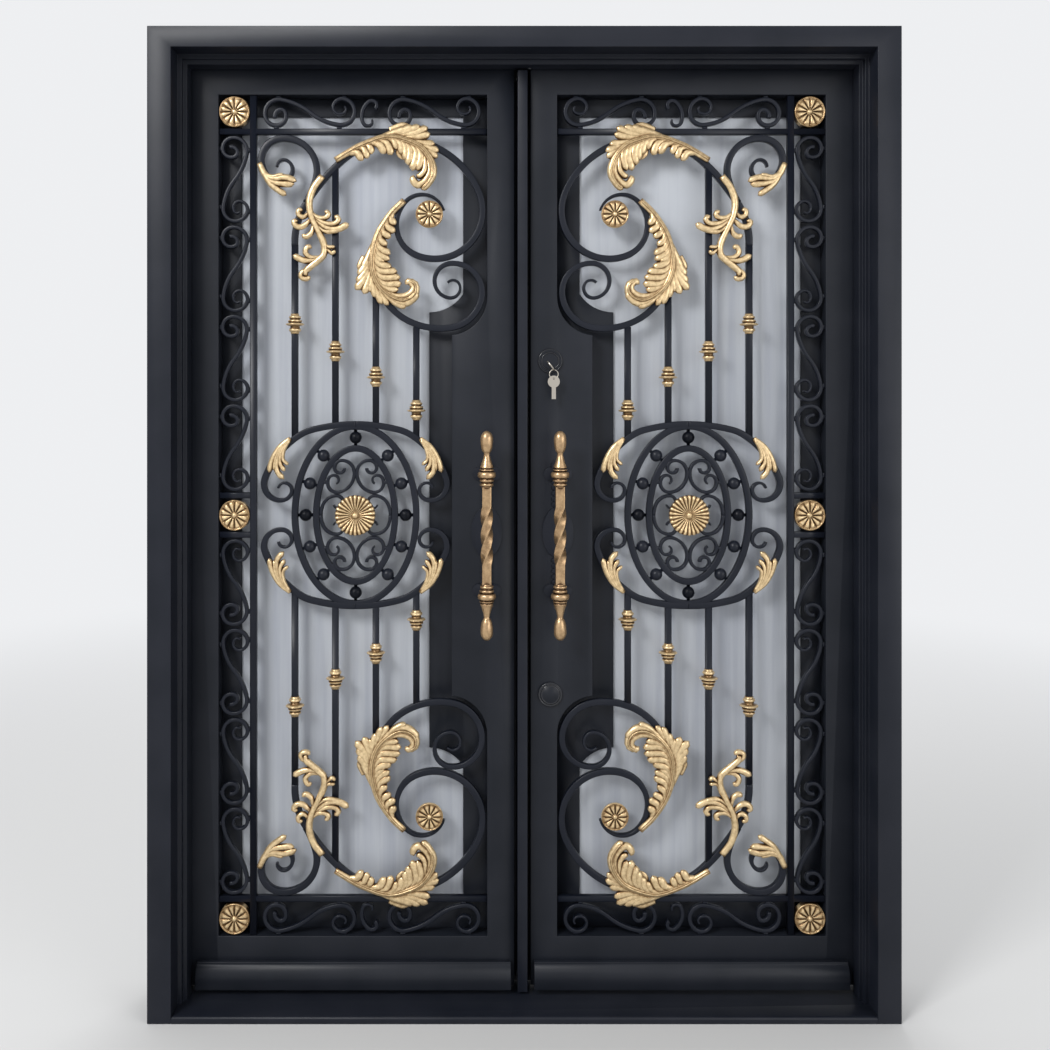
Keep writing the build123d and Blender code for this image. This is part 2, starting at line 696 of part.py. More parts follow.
def medallion_balls(rings):
    """Forged balls between the two rings, each on a pin that reaches both."""
    outer = from_middle(MEDALLION_OUTER)
    inner = from_middle(MEDALLION_INNER)
    middle_u = (outer[0] + inner[0]) / 2
    middle_v = (outer[1] + inner[1]) / 2
    reach = outer[0] - inner[0]
    balls = []
    for angle in BALL_ANGLES:
        across, up = cos(radians(angle)), sin(radians(angle))
        lean = degrees(atan2(up / middle_v, across / middle_u))
        ball = Sphere(BALL_RADIUS) + Rot(0, 90 - lean, 0) * Cylinder(BALL_PIN_RADIUS, reach)
        sides = (1, -1) if angle < 90 else (1,)
        heights = (1, -1) if angle > 0 else (1,)
        for side in sides:
            for height in heights:
                leaning = ball if side * height > 0 else mirror(ball, about=Plane.YZ)
                balls.append(Pos(side * middle_u * across, BAR_MIDDLE, height * middle_v * up) * leaning)
    return panel(Compound(balls)) - rings


def rosette_places():
    return [(COLUMN_U, v) for v in (-ROW_V, 0.0, ROW_V)]


def border_grille():
    """The framing bars round the main panel, with a backing disc for each rosette."""
    bar_u = -HALF_U + BORDER_BAR_CENTRE
    half_bar = BORDER_BAR_WIDTH / 2
    half_rail = BORDER_RAIL_WIDTH / 2
    bars = rect_uv(bar_u - half_bar, bar_u + half_bar, -HALF_V, HALF_V)
    for v in (-PANEL_TOP, PANEL_TOP):
        bars += rect_uv(-HALF_U, HALF_U, v - half_rail, v + half_rail)
    for v in (-MIDDLE_RAIL_OFFSET, MIDDLE_RAIL_OFFSET):
        bars += rect_uv(-HALF_U, bar_u, v - half_rail, v + half_rail)
    grille = slab(bars, BAR_FRONT, BAR_DEPTH)
    opening = Rectangle(2 * HALF_U, 2 * HALF_V)
    for u, v in rosette_places():
        disc = (Pos(u, v) * Circle(ROSETTE_RADIUS + ROSETTE_BACKING_LAP)) & opening
        grille += slab(disc, BAR_FRONT + BAR_DEPTH - ROSETTE_BACKING, ROSETTE_BACKING)
    return grille


def welded_strap(width):
    """One S scroll with the weld beads that fill a border of this width from side to side."""
    sketch = scroll(**S_SCROLL, width=STRAP_WIDTH, tip=THIN_TIP, taper_from=8)
    half = DRAWN_STRAP_WIDTH / 2
    for side, v in WELD_PLACES:
        sketch += Pos(side * (half - WELD_LAP / 2), v) * Rectangle(WELD_LAP, WELD)
    return scale(sketch, by=width / DRAWN_STRAP_WIDTH)


def border_scrolls():
    column_strap = welded_strap(COLUMN_WIDTH)
    row_strap = Rot(0, 0, 90) * welded_strap(ROW_HEIGHT)
    pitch = (COLUMN_HIGH - COLUMN_LOW) / COLUMN_SCROLLS
    pieces = []
    for number in range(COLUMN_SCROLLS):
        pieces.append(Pos(COLUMN_U, COLUMN_LOW + (number + 0.5) * pitch) * column_strap)
    for side in (1, -1):
        pieces.append(Pos(ROW_CENTRE + side * ROW_REACH * ROW_HALF, ROW_V) * row_strap)
    small = scroll(**SMALL_C, width=STRAP_WIDTH, tip=THIN_TIP, taper_from=3)
    for side in (1, -1):
        small += Pos(0, side * (ROW_HEIGHT / 2 - WELD_LAP / 2)) * Rectangle(WELD, WELD_LAP)
    pieces.append(Pos(ROW_CENTRE, ROW_V) * small)
    upper = [slab(piece, LEAF_FRONT + STRAP_BACK_SET, STRAP_DEPTH) for piece in pieces]
    return Compound(upper + [flip_v(piece) for piece in upper])


def dome(radius, height):
    """A low round cap with its flat side at y = 0, rising towards the front."""
    ball = (radius**2 + height**2) / (2 * height)
    half_angle = atan2(radius, ball - height) / 2
    middle = (ball * sin(half_angle), ball - height - ball * cos(half_angle))
    outline = [
        Line((0, 0), (radius, 0)),
        ThreePointArc((radius, 0), middle, (0, -height)),
        Line((0, -height), (0, 0)),
    ]
    return revolve(make_face(outline), Axis.Y)


def petals(count, inner, radius):
    """A ring of petals with round ends and a gap between neighbours."""
    shoulder = radius * PETAL_SHOULDER
    half = shoulder * sin(radians(180 / count)) - PETAL_GAP / 2
    root = max(inner * sin(radians(180 / count)) - PETAL_GAP / 2, PETAL_GAP / 4)
    petal = make_face([
        Line((inner, -root), (shoulder, -half)),
        ThreePointArc((shoulder, -half), (radius, 0), (shoulder, half)),
        Line((shoulder, half), (inner, root)),
        Line((inner, root), (inner, -root)),
    ])
    return Sketch() + [Rot(0, 0, 360 * number / count) * petal for number in range(count)]


def rosette(radius, front, back):
    """A dished disc with a raised rim, a ring of petals and a boss."""
    flower = slab(Circle(radius), front + ROSETTE_DISH, back - front - ROSETTE_DISH)
    flower += slab(Circle(radius) - Circle(radius - ROSETTE_RIM), front, back - front)
    ring = petals(ROSETTE_PETALS, BOSS_RADIUS - PETAL_GAP, radius - ROSETTE_RIM / 2)
    flower += slab(ring, front + ROSETTE_DISH / 2, ROSETTE_DISH)
    return flower + Pos(0, front + ROSETTE_DISH, 0) * dome(BOSS_RADIUS, BOSS_HEIGHT)


def border_rosettes():
    one = rosette(ROSETTE_RADIUS, LEAF_FRONT, BAR_FRONT + BAR_DEPTH - ROSETTE_BACKING)
    return Compound([Pos(u, 0, v) * one for u, v in rosette_places()])


def panel_rosettes():
    front = LEAF_FRONT - ROSETTE_PROUD
    small = rosette(SCROLL_ROSETTE_RADIUS, front, BAR_FRONT)
    daisy = slab(Circle(DAISY_RADIUS * PETAL_SHOULDER), front + ROSETTE_DISH, BAR_FRONT - front - ROSETTE_DISH)
    daisy += slab(petals(DAISY_PETALS, DAISY_BOSS - PETAL_GAP, DAISY_RADIUS), front, BAR_FRONT - front)
    daisy += Pos(0, front + ROSETTE_DISH, 0) * dome(DAISY_BOSS, DAISY_BOSS)
    u, v = from_top(SCROLL_ROSETTE)
    return panel(Compound([Pos(u, 0, v) * small, Pos(u, 0, -v) * small, daisy]))


def bar_collars():
    """Turned collars: two rings over a wide pointed disc, and one ring below it."""
    half = COLLAR_LENGTH / 2
    outline = Polyline(
        (0, half), (COLLAR_NECK, half), (COLLAR_RING, half * 0.75), (COLLAR_NECK + 1, half * 0.48),
        (COLLAR_SHOULDER, half * 0.27), (COLLAR_DISC, -half * 0.07), (COLLAR_NECK + 1, -half * 0.27),
        (COLLAR_RING, -half * 0.6), (COLLAR_NECK, -half), (0, -half),
        close=True,
    )
    body = revolve(Plane.XZ * make_face(outline), Axis.Z)
    collar = body - Box(BAR_WIDTH, BAR_DEPTH, COLLAR_LENGTH * 2)
    collars = []
    for step, bar in BARS.items():
        height = bar["foot"] * PANEL_GROWTH + bar["collar"]
        placed = Pos(step * BAR_PITCH * PANEL_GROWTH, BAR_MIDDLE, height) * collar
        collars += [placed, flip_v(placed)]
    return panel(Compound(collars))


def along(start, heading, bends, distance):
    """The point and the heading after a distance along a path of arcs."""
    point, direction = start, heading
    for radius, turn in bends:
        length = radius * radians(abs(turn))
        if distance <= length:
            part = turn * distance / length
            return move_along(point, direction, radius, part), direction + part
        point = move_along(point, direction, radius, turn)
        direction += turn
        distance -= length
    return point, direction


def acanthus(leaf, start):
    """A leaf in three heights: lobes, blade and midrib."""
    bends = grown(leaf["bends"])
    path = (start, leaf["heading"], bends)
    blade = scroll(*path, width=leaf["width"], tip=THIN_TIP, taper_from=leaf["full"], head=leaf["head"])
    rib = scroll(*path, width=LEAF_RIB_WIDTH, tip=LEAF_RIB_WIDTH / 2, taper_from=leaf["full"])
    fringe = blade
    for distance, turn, length, width in leaf["lobes"]:
        root, heading = along(*path, distance * PANEL_GROWTH)
        fringe += lobe(root, heading + turn, length * PANEL_GROWTH, width * PANEL_GROWTH)
    front = LEAF_FRONT - LEAF_BLADE_PROUD
    solid = slab(fringe, front + LEAF_LOBE_DROP, BAR_FRONT - front - LEAF_LOBE_DROP)
    solid += slab(blade, front, BAR_FRONT - front)
    return solid + slab(rib, front - LEAF_RIB_RISE, BAR_FRONT - front + LEAF_RIB_RISE)


def acanthus_leaves():
    """Cast leaves that sit on the front of the scrolls."""
    pieces = [acanthus(leaf, from_top(leaf["start"])) for leaf in FRONT_LEAVES]
    corner = acanthus(CORNER_LEAF, from_middle(CORNER_LEAF["start"]))
    pieces += [corner, mirror(corner, about=Plane.YZ)]
    return panel(Compound(pieces + [flip_v(piece) for piece in pieces]))


def handle_end():
    """Finial, neck, flared foot and bulb of a handle, turned round its axis."""
    top = HANDLE_LENGTH / 2
    finial, neck, bulb = HANDLE_FINIAL_RADIUS, HANDLE_NECK_RADIUS, HANDLE_BULB_RADIUS
    foot = top - HANDLE_END_LENGTH - 1
    outline = [
        ThreePointArc((0, top), (finial * 0.7, top - 5), (finial, top - 17)),
        Spline((finial, top - 17), (finial * 0.8, top - 33), (neck, top - 49), tangents=[(0, -1), (0, -1)]),
        Spline((neck, top - 49), (neck * 1.5, top - 64), (finial, top - 76), tangents=[(0, -1), (1, -1)]),
        Line((finial, top - 76), (finial, top - 80)),
        Line((finial, top - 80), (finial * 0.8, top - 82)),
        ThreePointArc((finial * 0.8, top - 82), (bulb, top - HANDLE_BULB_DROP), (finial * 0.8, top - 110)),
        Line((finial * 0.8, top - 110), (finial, top - 112)),
        Line((finial, top - 112), (finial, foot)),
        Line((finial, foot), (0, foot)),
        Line((0, foot), (0, top)),
    ]
    return revolve(Plane.XZ * make_face(outline), Axis.Z)


def pull_handle():
    """A square shaft twisted in its middle, between two turned ends."""
    side = HANDLE_SHAFT_SIDE
    reach = HANDLE_LENGTH / 2 - HANDLE_END_LENGTH
    twist_half = HANDLE_TWIST_LENGTH / 2
    square = Rectangle(side, side)
    straight = Pos(0, 0, twist_half) * extrude(square, amount=reach - twist_half)
    steps = int(HANDLE_TURN / 22.5)
    sections = []
    for number in range(steps + 1):
        height = -twist_half + HANDLE_TWIST_LENGTH * number / steps
        sections.append(Pos(0, 0, height) * Rot(0, 0, HANDLE_TURN * number / steps) * square)
    end = handle_end()
    body = loft(sections, ruled=True) + straight + mirror(straight, about=Plane.XY)
    body += end + mirror(end, about=Plane.XY)
    return Pos(0, HANDLE_Y, HANDLE_Z) * body


def handle_posts(handle):
    """The two stand-offs from the backplate to the bulbs."""
    length = LEAF_FRONT - HANDLE_PLATE_THICKNESS - HANDLE_Y
    post = Pos(0, HANDLE_Y + length / 2, 0) * Rot(90, 0, 0) * Cylinder(HANDLE_POST_RADIUS, length)
    return Compound([Pos(0, 0, HANDLE_Z + side * HANDLE_BULB_RISE) * post for side in (1, -1)]) - handle


def handle_plate():
    """Backplate: trefoil ends, stems edged with beads and an oval middle."""
    sketch = Ellipse(*PLATE_OVAL) + Rectangle(PLATE_STEM_WIDTH, 2 * HANDLE_BULB_RISE)
    beads = int((HANDLE_BULB_RISE - PLATE_OVAL[1]) // PLATE_BEAD_PITCH)
    for side in (1, -1):
        for number in range(beads):
            v = side * (PLATE_OVAL[1] + (number + 0.5) * PLATE_BEAD_PITCH)
            for edge in (1, -1):
                sketch += Pos(edge * PLATE_STEM_WIDTH / 2, v) * Circle(PLATE_BEAD_RADIUS)
        for du, dv in ((-1, 0), (1, 0), (0, 1)):
            place = (du * PLATE_FOIL_REACH, side * (HANDLE_BULB_RISE + dv * PLATE_FOIL_REACH))
            sketch += Pos(*place) * Circle(PLATE_FOIL_RADIUS)
    return Pos(0, 0, HANDLE_Z) * slab(sketch, LEAF_FRONT - HANDLE_PLATE_THICKNESS, HANDLE_PLATE_THICKNESS)


def knuckle(z, radius):
    return Pos(-PIN_X, PIN_Y, z) * Cylinder(radius, HINGE_KNUCKLE, align=(Align.CENTER, Align.CENTER, Align.MIN))


def jamb_hinges():
    """Lower knuckles with their pins, welded to the back of the jamb."""
    parts = []
    for z in HINGE_HEIGHTS:
        low = z - HINGE_KNUCKLE - HINGE_WASHER_GAP / 2
        body = knuckle(low, HINGE_RADIUS)
        pin = Pos(-PIN_X, PIN_Y, low) * Cylinder(
            HINGE_PIN_RADIUS, 2 * HINGE_KNUCKLE - 10, align=(Align.CENTER, Align.CENTER, Align.MIN)
        )
        tab = Pos(-REBATE_X - HINGE_TAB / 2, (BACK + PIN_Y) / 2, low + HINGE_KNUCKLE / 2) * Box(
            HINGE_TAB, PIN_Y - BACK, HINGE_KNUCKLE
        )
        bridge = Pos(-(REBATE_X + PIN_X) / 2 - 2, PIN_Y - 3, low + HINGE_KNUCKLE / 2) * Box(8, 6, HINGE_KNUCKLE)
        parts.append(body + pin + tab + bridge)
    return Compound(parts)


def leaf_hinges():
    """Upper knuckles that turn on the pins, welded to the back of the leaf."""
    parts = []
    for z in HINGE_HEIGHTS:
        low = z + HINGE_WASHER_GAP / 2
        body = knuckle(low, HINGE_RADIUS)
        tab_x = -HINGE_EDGE + HINGE_TAB / 2
        tab = Pos(tab_x, (LEAF_BACK + PIN_Y) / 2, low + HINGE_KNUCKLE / 2) * Box(
            HINGE_TAB, PIN_Y - LEAF_BACK, HINGE_KNUCKLE
        )
        bore = Pos(-PIN_X, PIN_Y, low - 1) * Cylinder(
            HINGE_PIN_RADIUS + HINGE_RUNNING_CLEARANCE, HINGE_KNUCKLE - 5,
            align=(Align.CENTER, Align.CENTER, Align.MIN),
        )
        parts.append(body + tab - bore)
    return Compound(parts)


def lock_cylinder():
    """Round rose with a raised ring and the barrel that takes the key."""
    front = LEAF_FRONT - LOCK_CYLINDER_PROUD
    rose = slab(Circle(LOCK_CYLINDER_RADIUS), front + 2, LOCK_CYLINDER_PROUD - 2)
    ring = Circle(LOCK_CYLINDER_RADIUS - LOCK_RING) - Circle(LOCK_CYLINDER_RADIUS - 2 * LOCK_RING)
    rose += slab(ring + Pos(0, -LOCK_BARREL_DROP) * Circle(LOCK_BARREL_RADIUS), front, LOCK_CYLINDER_PROUD)
    return Pos(LOCK_X, 0, LOCK_CYLINDER_Z) * rose


def lock_keys():
    """One key in the barrel, seen edge on, and a second that hangs from its ring."""
    bow_y = LEAF_FRONT - LOCK_CYLINDER_PROUD - KEY_BOW_RADIUS
    bow = extrude(Circle(KEY_BOW_RADIUS), amount=KEY_THICKNESS / 2, both=True)
    inserted = Rot(0, 90 - KEY_LEAN, 0) * bow
    hold = KEY_BOW_RADIUS - 2 * KEY_RING_WIRE
    hold_x = hold * sin(radians(KEY_LEAN))
    hold_z = -hold * cos(radians(KEY_LEAN))
    ring = Pos(0, 0, hold_z - KEY_RING_RADIUS) * Rot(90, 0, 0) * Torus(KEY_RING_RADIUS, KEY_RING_WIRE)
    hanging_z = hold_z - 2 * KEY_RING_RADIUS - KEY_BOW_RADIUS / 2
    hanging = bow - Pos(0, KEY_BOW_RADIUS / 2, 0) * Cylinder(2 * KEY_RING_WIRE, 2 * KEY_THICKNESS)
    width, length = KEY_BLADE
    hanging += Pos(0, -KEY_BOW_RADIUS - length / 2 + KEY_THICKNESS, 0) * Box(width, length, KEY_THICKNESS)
    low = ring + Pos(0, 0, hanging_z) * Rot(90, 0, 0) * hanging
    keys = inserted + Pos(hold_x, 0, 0) * low
    return Pos(LOCK_X, bow_y, LOCK_CYLINDER_Z - LOCK_BARREL_DROP) * keys


def lower_lock_rose():
    rose = slab(Circle(LOWER_LOCK_RADIUS), LEAF_FRONT - LOWER_LOCK_FOOT, LOWER_LOCK_FOOT)
    rose += Pos(0, LEAF_FRONT - LOWER_LOCK_FOOT, 0) * dome(LOWER_LOCK_RADIUS - LOCK_RING, LOWER_LOCK_DOME)
    return Pos(LOCK_X, 0, LOWER_LOCK_Z) * rose


def to_leaf(shape):
    """Move a solid from leaf coordinates to its place on the left leaf."""
    return Pos(-LEAF_CENTRE, 0, OPENING_CENTRE_Z) * shape


def mirrored(shape):
    return mirror(shape, about=Plane.YZ)


def save(node, shape):
    export_step(shape, f"parts/{node}.step")


head = frame_head()
jamb = frame_jamb_left(head)
save("frame_head", head)
save("frame_jamb_left", jamb)
save("frame_jamb_right", mirrored(jamb))
save("sill", sill(jamb + mirrored(jamb)))

border_bars = border_grille()
medallion_bars = medallion()
plate = lock_stile()
leaf_nodes = {
    "hinge_stile": hinge_stile(),
    "lock_stile": plate,
    "top_rail": rail(HALF_V, V_TOP),
    "bottom_rail": rail(V_BOTTOM, -HALF_V),
    "drip_moulding": drip_moulding(),
    "glass_sash": glass_sash(),
    "glass_pane": glass_pane(),
    "glazing_bead": glazing_bead(),
    "border_bars": border_bars,
    "border_scrolls": border_scrolls(),
    "scroll_grille": scroll_grille([border_bars, medallion_bars, plate]),
    "medallion": medallion_bars,
    "medallion_balls": medallion_balls(medallion_bars),
    "border_rosettes": border_rosettes(),
    "panel_rosettes": panel_rosettes(),
    "bar_collars": bar_collars(),
    "acanthus_leaves": acanthus_leaves(),
}
leaf_nodes["handle_plate"] = Pos(HANDLE_U, 0, 0) * handle_plate()

for name, shape in leaf_nodes.items():
    placed = to_leaf(shape)
    save(f"{name}_left", placed)
    save(f"{name}_right", mirrored(placed))

# The handles turn the same way, so the right one is moved across and not mirrored
handle = pull_handle()
posts = handle_posts(handle)
for side, x in (("left", -HANDLE_X), ("right", HANDLE_X)):
    save(f"pull_handle_{side}", Pos(x, 0, OPENING_CENTRE_Z) * handle)
    save(f"handle_posts_{side}", Pos(x, 0, OPENING_CENTRE_Z) * posts)

save("astragal", astragal())
save("jamb_hinges_left", jamb_hinges())
save("jamb_hinges_right", mirrored(jamb_hinges()))
save("leaf_hinges_left", leaf_hinges())
save("leaf_hinges_right", mirrored(leaf_hinges()))
save("lock_cylinder", lock_cylinder())
save("lock_keys", lock_keys())
save("lower_lock_rose", lower_lock_rose())
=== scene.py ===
import json
from math import atan2, cos, degrees, dist, pi, radians, sin, sqrt

import bmesh
import bpy
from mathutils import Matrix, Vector


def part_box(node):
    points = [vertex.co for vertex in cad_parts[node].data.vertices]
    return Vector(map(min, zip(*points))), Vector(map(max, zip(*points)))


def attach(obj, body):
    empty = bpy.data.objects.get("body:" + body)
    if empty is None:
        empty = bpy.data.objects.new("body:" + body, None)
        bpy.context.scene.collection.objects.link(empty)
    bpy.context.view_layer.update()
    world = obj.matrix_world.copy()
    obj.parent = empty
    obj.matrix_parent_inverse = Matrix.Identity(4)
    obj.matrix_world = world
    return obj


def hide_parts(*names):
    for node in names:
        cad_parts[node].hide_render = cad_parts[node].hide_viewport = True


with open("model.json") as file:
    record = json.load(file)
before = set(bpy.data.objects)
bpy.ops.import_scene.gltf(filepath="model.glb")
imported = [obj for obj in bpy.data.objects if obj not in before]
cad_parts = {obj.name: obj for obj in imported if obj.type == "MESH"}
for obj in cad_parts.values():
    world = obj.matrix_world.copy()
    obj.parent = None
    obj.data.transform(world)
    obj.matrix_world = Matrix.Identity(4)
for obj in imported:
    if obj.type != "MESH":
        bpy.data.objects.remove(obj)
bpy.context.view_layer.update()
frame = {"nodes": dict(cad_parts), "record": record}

MM = 0.001

# Sign of the direction from each leaf's hinges to the meeting edge
SIDES = {"left": 1.0, "right": -1.0}

# Places taken from the frame, in metres
LEAF_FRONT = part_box("hinge_stile_left")[0][1]
OPENING_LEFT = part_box("top_rail_left")[0][0]
OPENING_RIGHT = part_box("top_rail_left")[1][0]
OPENING_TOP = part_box("top_rail_left")[0][2]
OPENING_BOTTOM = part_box("bottom_rail_left")[1][2]
LEAF_CENTRE_X = (OPENING_LEFT + OPENING_RIGHT) / 2
LEAF_CENTRE_Z = (OPENING_TOP + OPENING_BOTTOM) / 2
MEETING_U = -LEAF_CENTRE_X / MM

# Ironwork sizes in millimetres, as on the solids; depths count back from the leaf's front
HALF_U = (OPENING_RIGHT - OPENING_LEFT) / 2 / MM
HALF_V = (OPENING_TOP - OPENING_BOTTOM) / 2 / MM
BAR_FRONT = 4.0
BAR_DEPTH = 14.0
BAR_WIDTH = 14.0
BAR_TIP = 5.0
BAR_MIDDLE = BAR_FRONT + BAR_DEPTH / 2
STRAP_FRONT = 5.0
STRAP_DEPTH = 12.0
STRAP_WIDTH = 8.0
THIN_TIP = 4.0
HEART_BAR = 7.0
BORDER_BAR_CENTRE = 74.6
BORDER_BAR_WIDTH = 14.6
BORDER_RAIL_CENTRE = 78.8
BORDER_RAIL_WIDTH = 13.0
MIDDLE_RAIL = 43.0
PANEL_CENTRE = 5.0
PANEL_HINGE = -HALF_U + BORDER_BAR_CENTRE + BORDER_BAR_WIDTH / 2
PANEL_TOP = HALF_V - BORDER_RAIL_CENTRE
BAR_PITCH = 88.7
COLUMN_WIDTH = BORDER_BAR_CENTRE - BORDER_BAR_WIDTH / 2
ROW_HEIGHT = BORDER_RAIL_CENTRE - BORDER_RAIL_WIDTH / 2
DRAWN_STRAP_WIDTH = 67.3
COLUMN_SCROLLS = 4
ROW_REACH = 0.54
EDGE_EASE = 1.8

# Bars that cross stand back a little, so that no two faces share a plane
UPRIGHT_SETBACK = 0.4
RAIL_SETBACK = 0.3
RING_SETBACK = 0.2


# Materials

PAINT_SHEEN = 0.24
# Gold tone: the share of the ambient occlusion, which paints shade into the hollows, the share of random
# tone, and how far the occlusion looks, in metres
OPEN_SHARE = 0.84
TONE_SHARE = 0.20
SHADE_REACH = 0.009


def new_material(name):
    material = bpy.data.materials.new(name)
    material.use_nodes = True
    nodes = material.node_tree.nodes
    nodes.clear()
    output = nodes.new("ShaderNodeOutputMaterial")
    shader = nodes.new("ShaderNodeBsdfPrincipled")
    material.node_tree.links.new(shader.outputs[0], output.inputs[0])
    return material, shader, nodes, material.node_tree.links


def object_noise(nodes, links, scale, detail=3.0, stretch=(1.0, 1.0, 1.0)):
    """Noise that stays with the object as it moves."""
    coords = nodes.new("ShaderNodeTexCoord")
    mapping = nodes.new("ShaderNodeMapping")
    mapping.inputs["Scale"].default_value = stretch
    noise = nodes.new("ShaderNodeTexNoise")
    noise.inputs["Scale"].default_value = scale
    noise.inputs["Detail"].default_value = detail
    links.new(coords.outputs["Object"], mapping.inputs["Vector"])
    links.new(mapping.outputs[0], noise.inputs["Vector"])
    return noise


def add_bump(nodes, links, shader, height, strength, distance):
    bump = nodes.new("ShaderNodeBump")
    bump.inputs["Strength"].default_value = strength
    bump.inputs["Distance"].default_value = distance
    links.new(height, bump.inputs["Height"])
    links.new(bump.outputs[0], shader.inputs["Normal"])


def ramp(nodes, links, source, stops):
    node = nodes.new("ShaderNodeValToRGB")
    elements = node.color_ramp.elements
    while len(elements) < len(stops):
        elements.new(0.5)
    for element, (place, colour) in zip(elements, stops):
        element.position = place
        element.color = (*colour, 1.0)
    links.new(source, node.inputs[0])
    return node


def weighted_sum(nodes, links, first, weight, second):
    """The first value times the weight, plus the second."""
    mix = nodes.new("ShaderNodeMath")
    mix.operation = "MULTIPLY_ADD"
    mix.inputs[1].default_value = weight
    links.new(first, mix.inputs[0])
    links.new(second, mix.inputs[2])
    return mix.outputs[0]


def paint_material(name, dark, light, roughness):
    """Powder coat: a fine pebbled skin with a slightly uneven tone."""
    material, shader, nodes, links = new_material(name)
    tone = object_noise(nodes, links, scale=9.0)
    colours = ramp(nodes, links, tone.outputs["Fac"], [(0.35, dark), (0.65, light)])
    links.new(colours.outputs[0], shader.inputs["Base Color"])
    shader.inputs["Specular IOR Level"].default_value = PAINT_SHEEN
    shader.inputs["Roughness"].default_value = roughness
    grain = object_noise(nodes, links, scale=900.0, detail=2.0)
    add_bump(nodes, links, shader, grain.outputs["Fac"], strength=0.25, distance=0.0004)
    return material


def gold_material(name, shade_colour, middle, lit_colour, metallic, roughness):
    """Gold paint with painted shade: an ambient occlusion mask darkens the hollows to brown, and the open
    tops take a pale tone that stands in for their highlights.
    """
    material, shader, nodes, links = new_material(name)
    # Painted shade: ambient occlusion darkens the colour wherever the surface lies in a hollow
    occlusion = nodes.new("ShaderNodeAmbientOcclusion")
    occlusion.samples = 8
    occlusion.inputs["Distance"].default_value = SHADE_REACH
    tone = object_noise(nodes, links, scale=130.0)
    open_part = nodes.new("ShaderNodeMath")
    open_part.operation = "MULTIPLY"
    open_part.inputs[1].default_value = OPEN_SHARE
    links.new(occlusion.outputs["AO"], open_part.inputs[0])
    mix = weighted_sum(nodes, links, tone.outputs["Fac"], TONE_SHARE, open_part.outputs[0])
    # The darkest stop is painted shade for the hollows, the palest a painted highlight tone for the open
    # tops
    colours = ramp(nodes, links, mix, [(0.60, shade_colour), (0.82, middle), (0.97, lit_colour)])
    links.new(colours.outputs[0], shader.inputs["Base Color"])
    shader.inputs["Metallic"].default_value = metallic
    shader.inputs["Roughness"].default_value = roughness
    grain = object_noise(nodes, links, scale=700.0, detail=2.0)
    add_bump(nodes, links, shader, grain.outputs["Fac"], strength=0.2, distance=0.0003)
    return material


def glass_material():
    """Rain glass: pale, nearly opaque, with fine upright streaks."""
    material, shader, nodes, links = new_material("rain_glass")
    streaks = object_noise(nodes, links, scale=60.0, detail=4.0, stretch=(1.0, 1.0, 0.03))
    broad = object_noise(nodes, links, scale=3.0, detail=2.0, stretch=(1.0, 1.0, 0.5))
    mix = weighted_sum(nodes, links, broad.outputs["Fac"], 0.8, streaks.outputs["Fac"])
    colours = ramp(nodes, links, mix, [(0.62, (0.40, 0.425, 0.48)), (1.0, (0.50, 0.525, 0.565))])
    links.new(colours.outputs[0], shader.inputs["Base Color"])
    shader.inputs["Roughness"].default_value = 0.3
    shader.inputs["IOR"].default_value = 1.45
    shader.inputs["Transmission Weight"].default_value = 0.12
    add_bump(nodes, links, shader, streaks.outputs["Fac"], strength=0.5, distance=0.0015)
    return material


def plain_material(name, colour, roughness, metallic=0.0):
    material, shader, _, _ = new_material(name)
    shader.inputs["Base Color"].default_value = (*colour, 1.0)
    shader.inputs["Roughness"].default_value = roughness
    shader.inputs["Metallic"].default_value = metallic
    return material


MATERIALS = {
    "frame_paint": paint_material(
        "frame_paint", dark=(0.008, 0.010, 0.016), light=(0.012, 0.014, 0.021), roughness=0.38
    ),
    "leaf_paint": paint_material(
        "leaf_paint", dark=(0.009, 0.011, 0.016), light=(0.013, 0.015, 0.021), roughness=0.40
    ),
    "ironwork": paint_material(
        "ironwork", dark=(0.006, 0.008, 0.014), light=(0.010, 0.012, 0.019), roughness=0.34
    ),
    # Gold: the darkest colour is painted shade in the hollows, the palest a painted highlight tone on the
    # open tops
    "antique_gold": gold_material(
        "antique_gold", shade_colour=(0.040, 0.018, 0.006), middle=(0.27, 0.150, 0.055),
        lit_colour=(0.86, 0.66, 0.38), metallic=0.55, roughness=0.30
    ),
    "brushed_gold": gold_material(
        "brushed_gold", shade_colour=(0.035, 0.016, 0.007), middle=(0.19, 0.105, 0.050),
        lit_colour=(0.56, 0.38, 0.21), metallic=0.75, roughness=0.30
    ),
    "lock_metal": plain_material("lock_metal", (0.50, 0.46, 0.40), roughness=0.3, metallic=0.9),
    "gasket": plain_material("gasket", (0.02, 0.02, 0.022), roughness=0.6),
    "rain_glass": glass_material(),
}
ROSE_ENAMEL = plain_material("rose_enamel", (0.012, 0.013, 0.017), roughness=0.16)


def paint(obj, slot):
    obj.data.materials.clear()
    obj.data.materials.append(MATERIALS[slot])


# Drawings are in millimetres on the left leaf: u towards the meeting edge, v up from the
# middle of the opening and w back from the leaf's front face; the right leaf mirrors them


def make_object(name, vertices, faces, smooth=True):
    mesh = bpy.data.meshes.new(name)
    mesh.from_pydata(vertices, [], faces)
    mesh.update()
    obj = bpy.data.objects.new(name, mesh)
    bpy.context.scene.collection.objects.link(obj)
    mesh.polygons.foreach_set("use_smooth", [smooth] * len(mesh.polygons))
    return obj


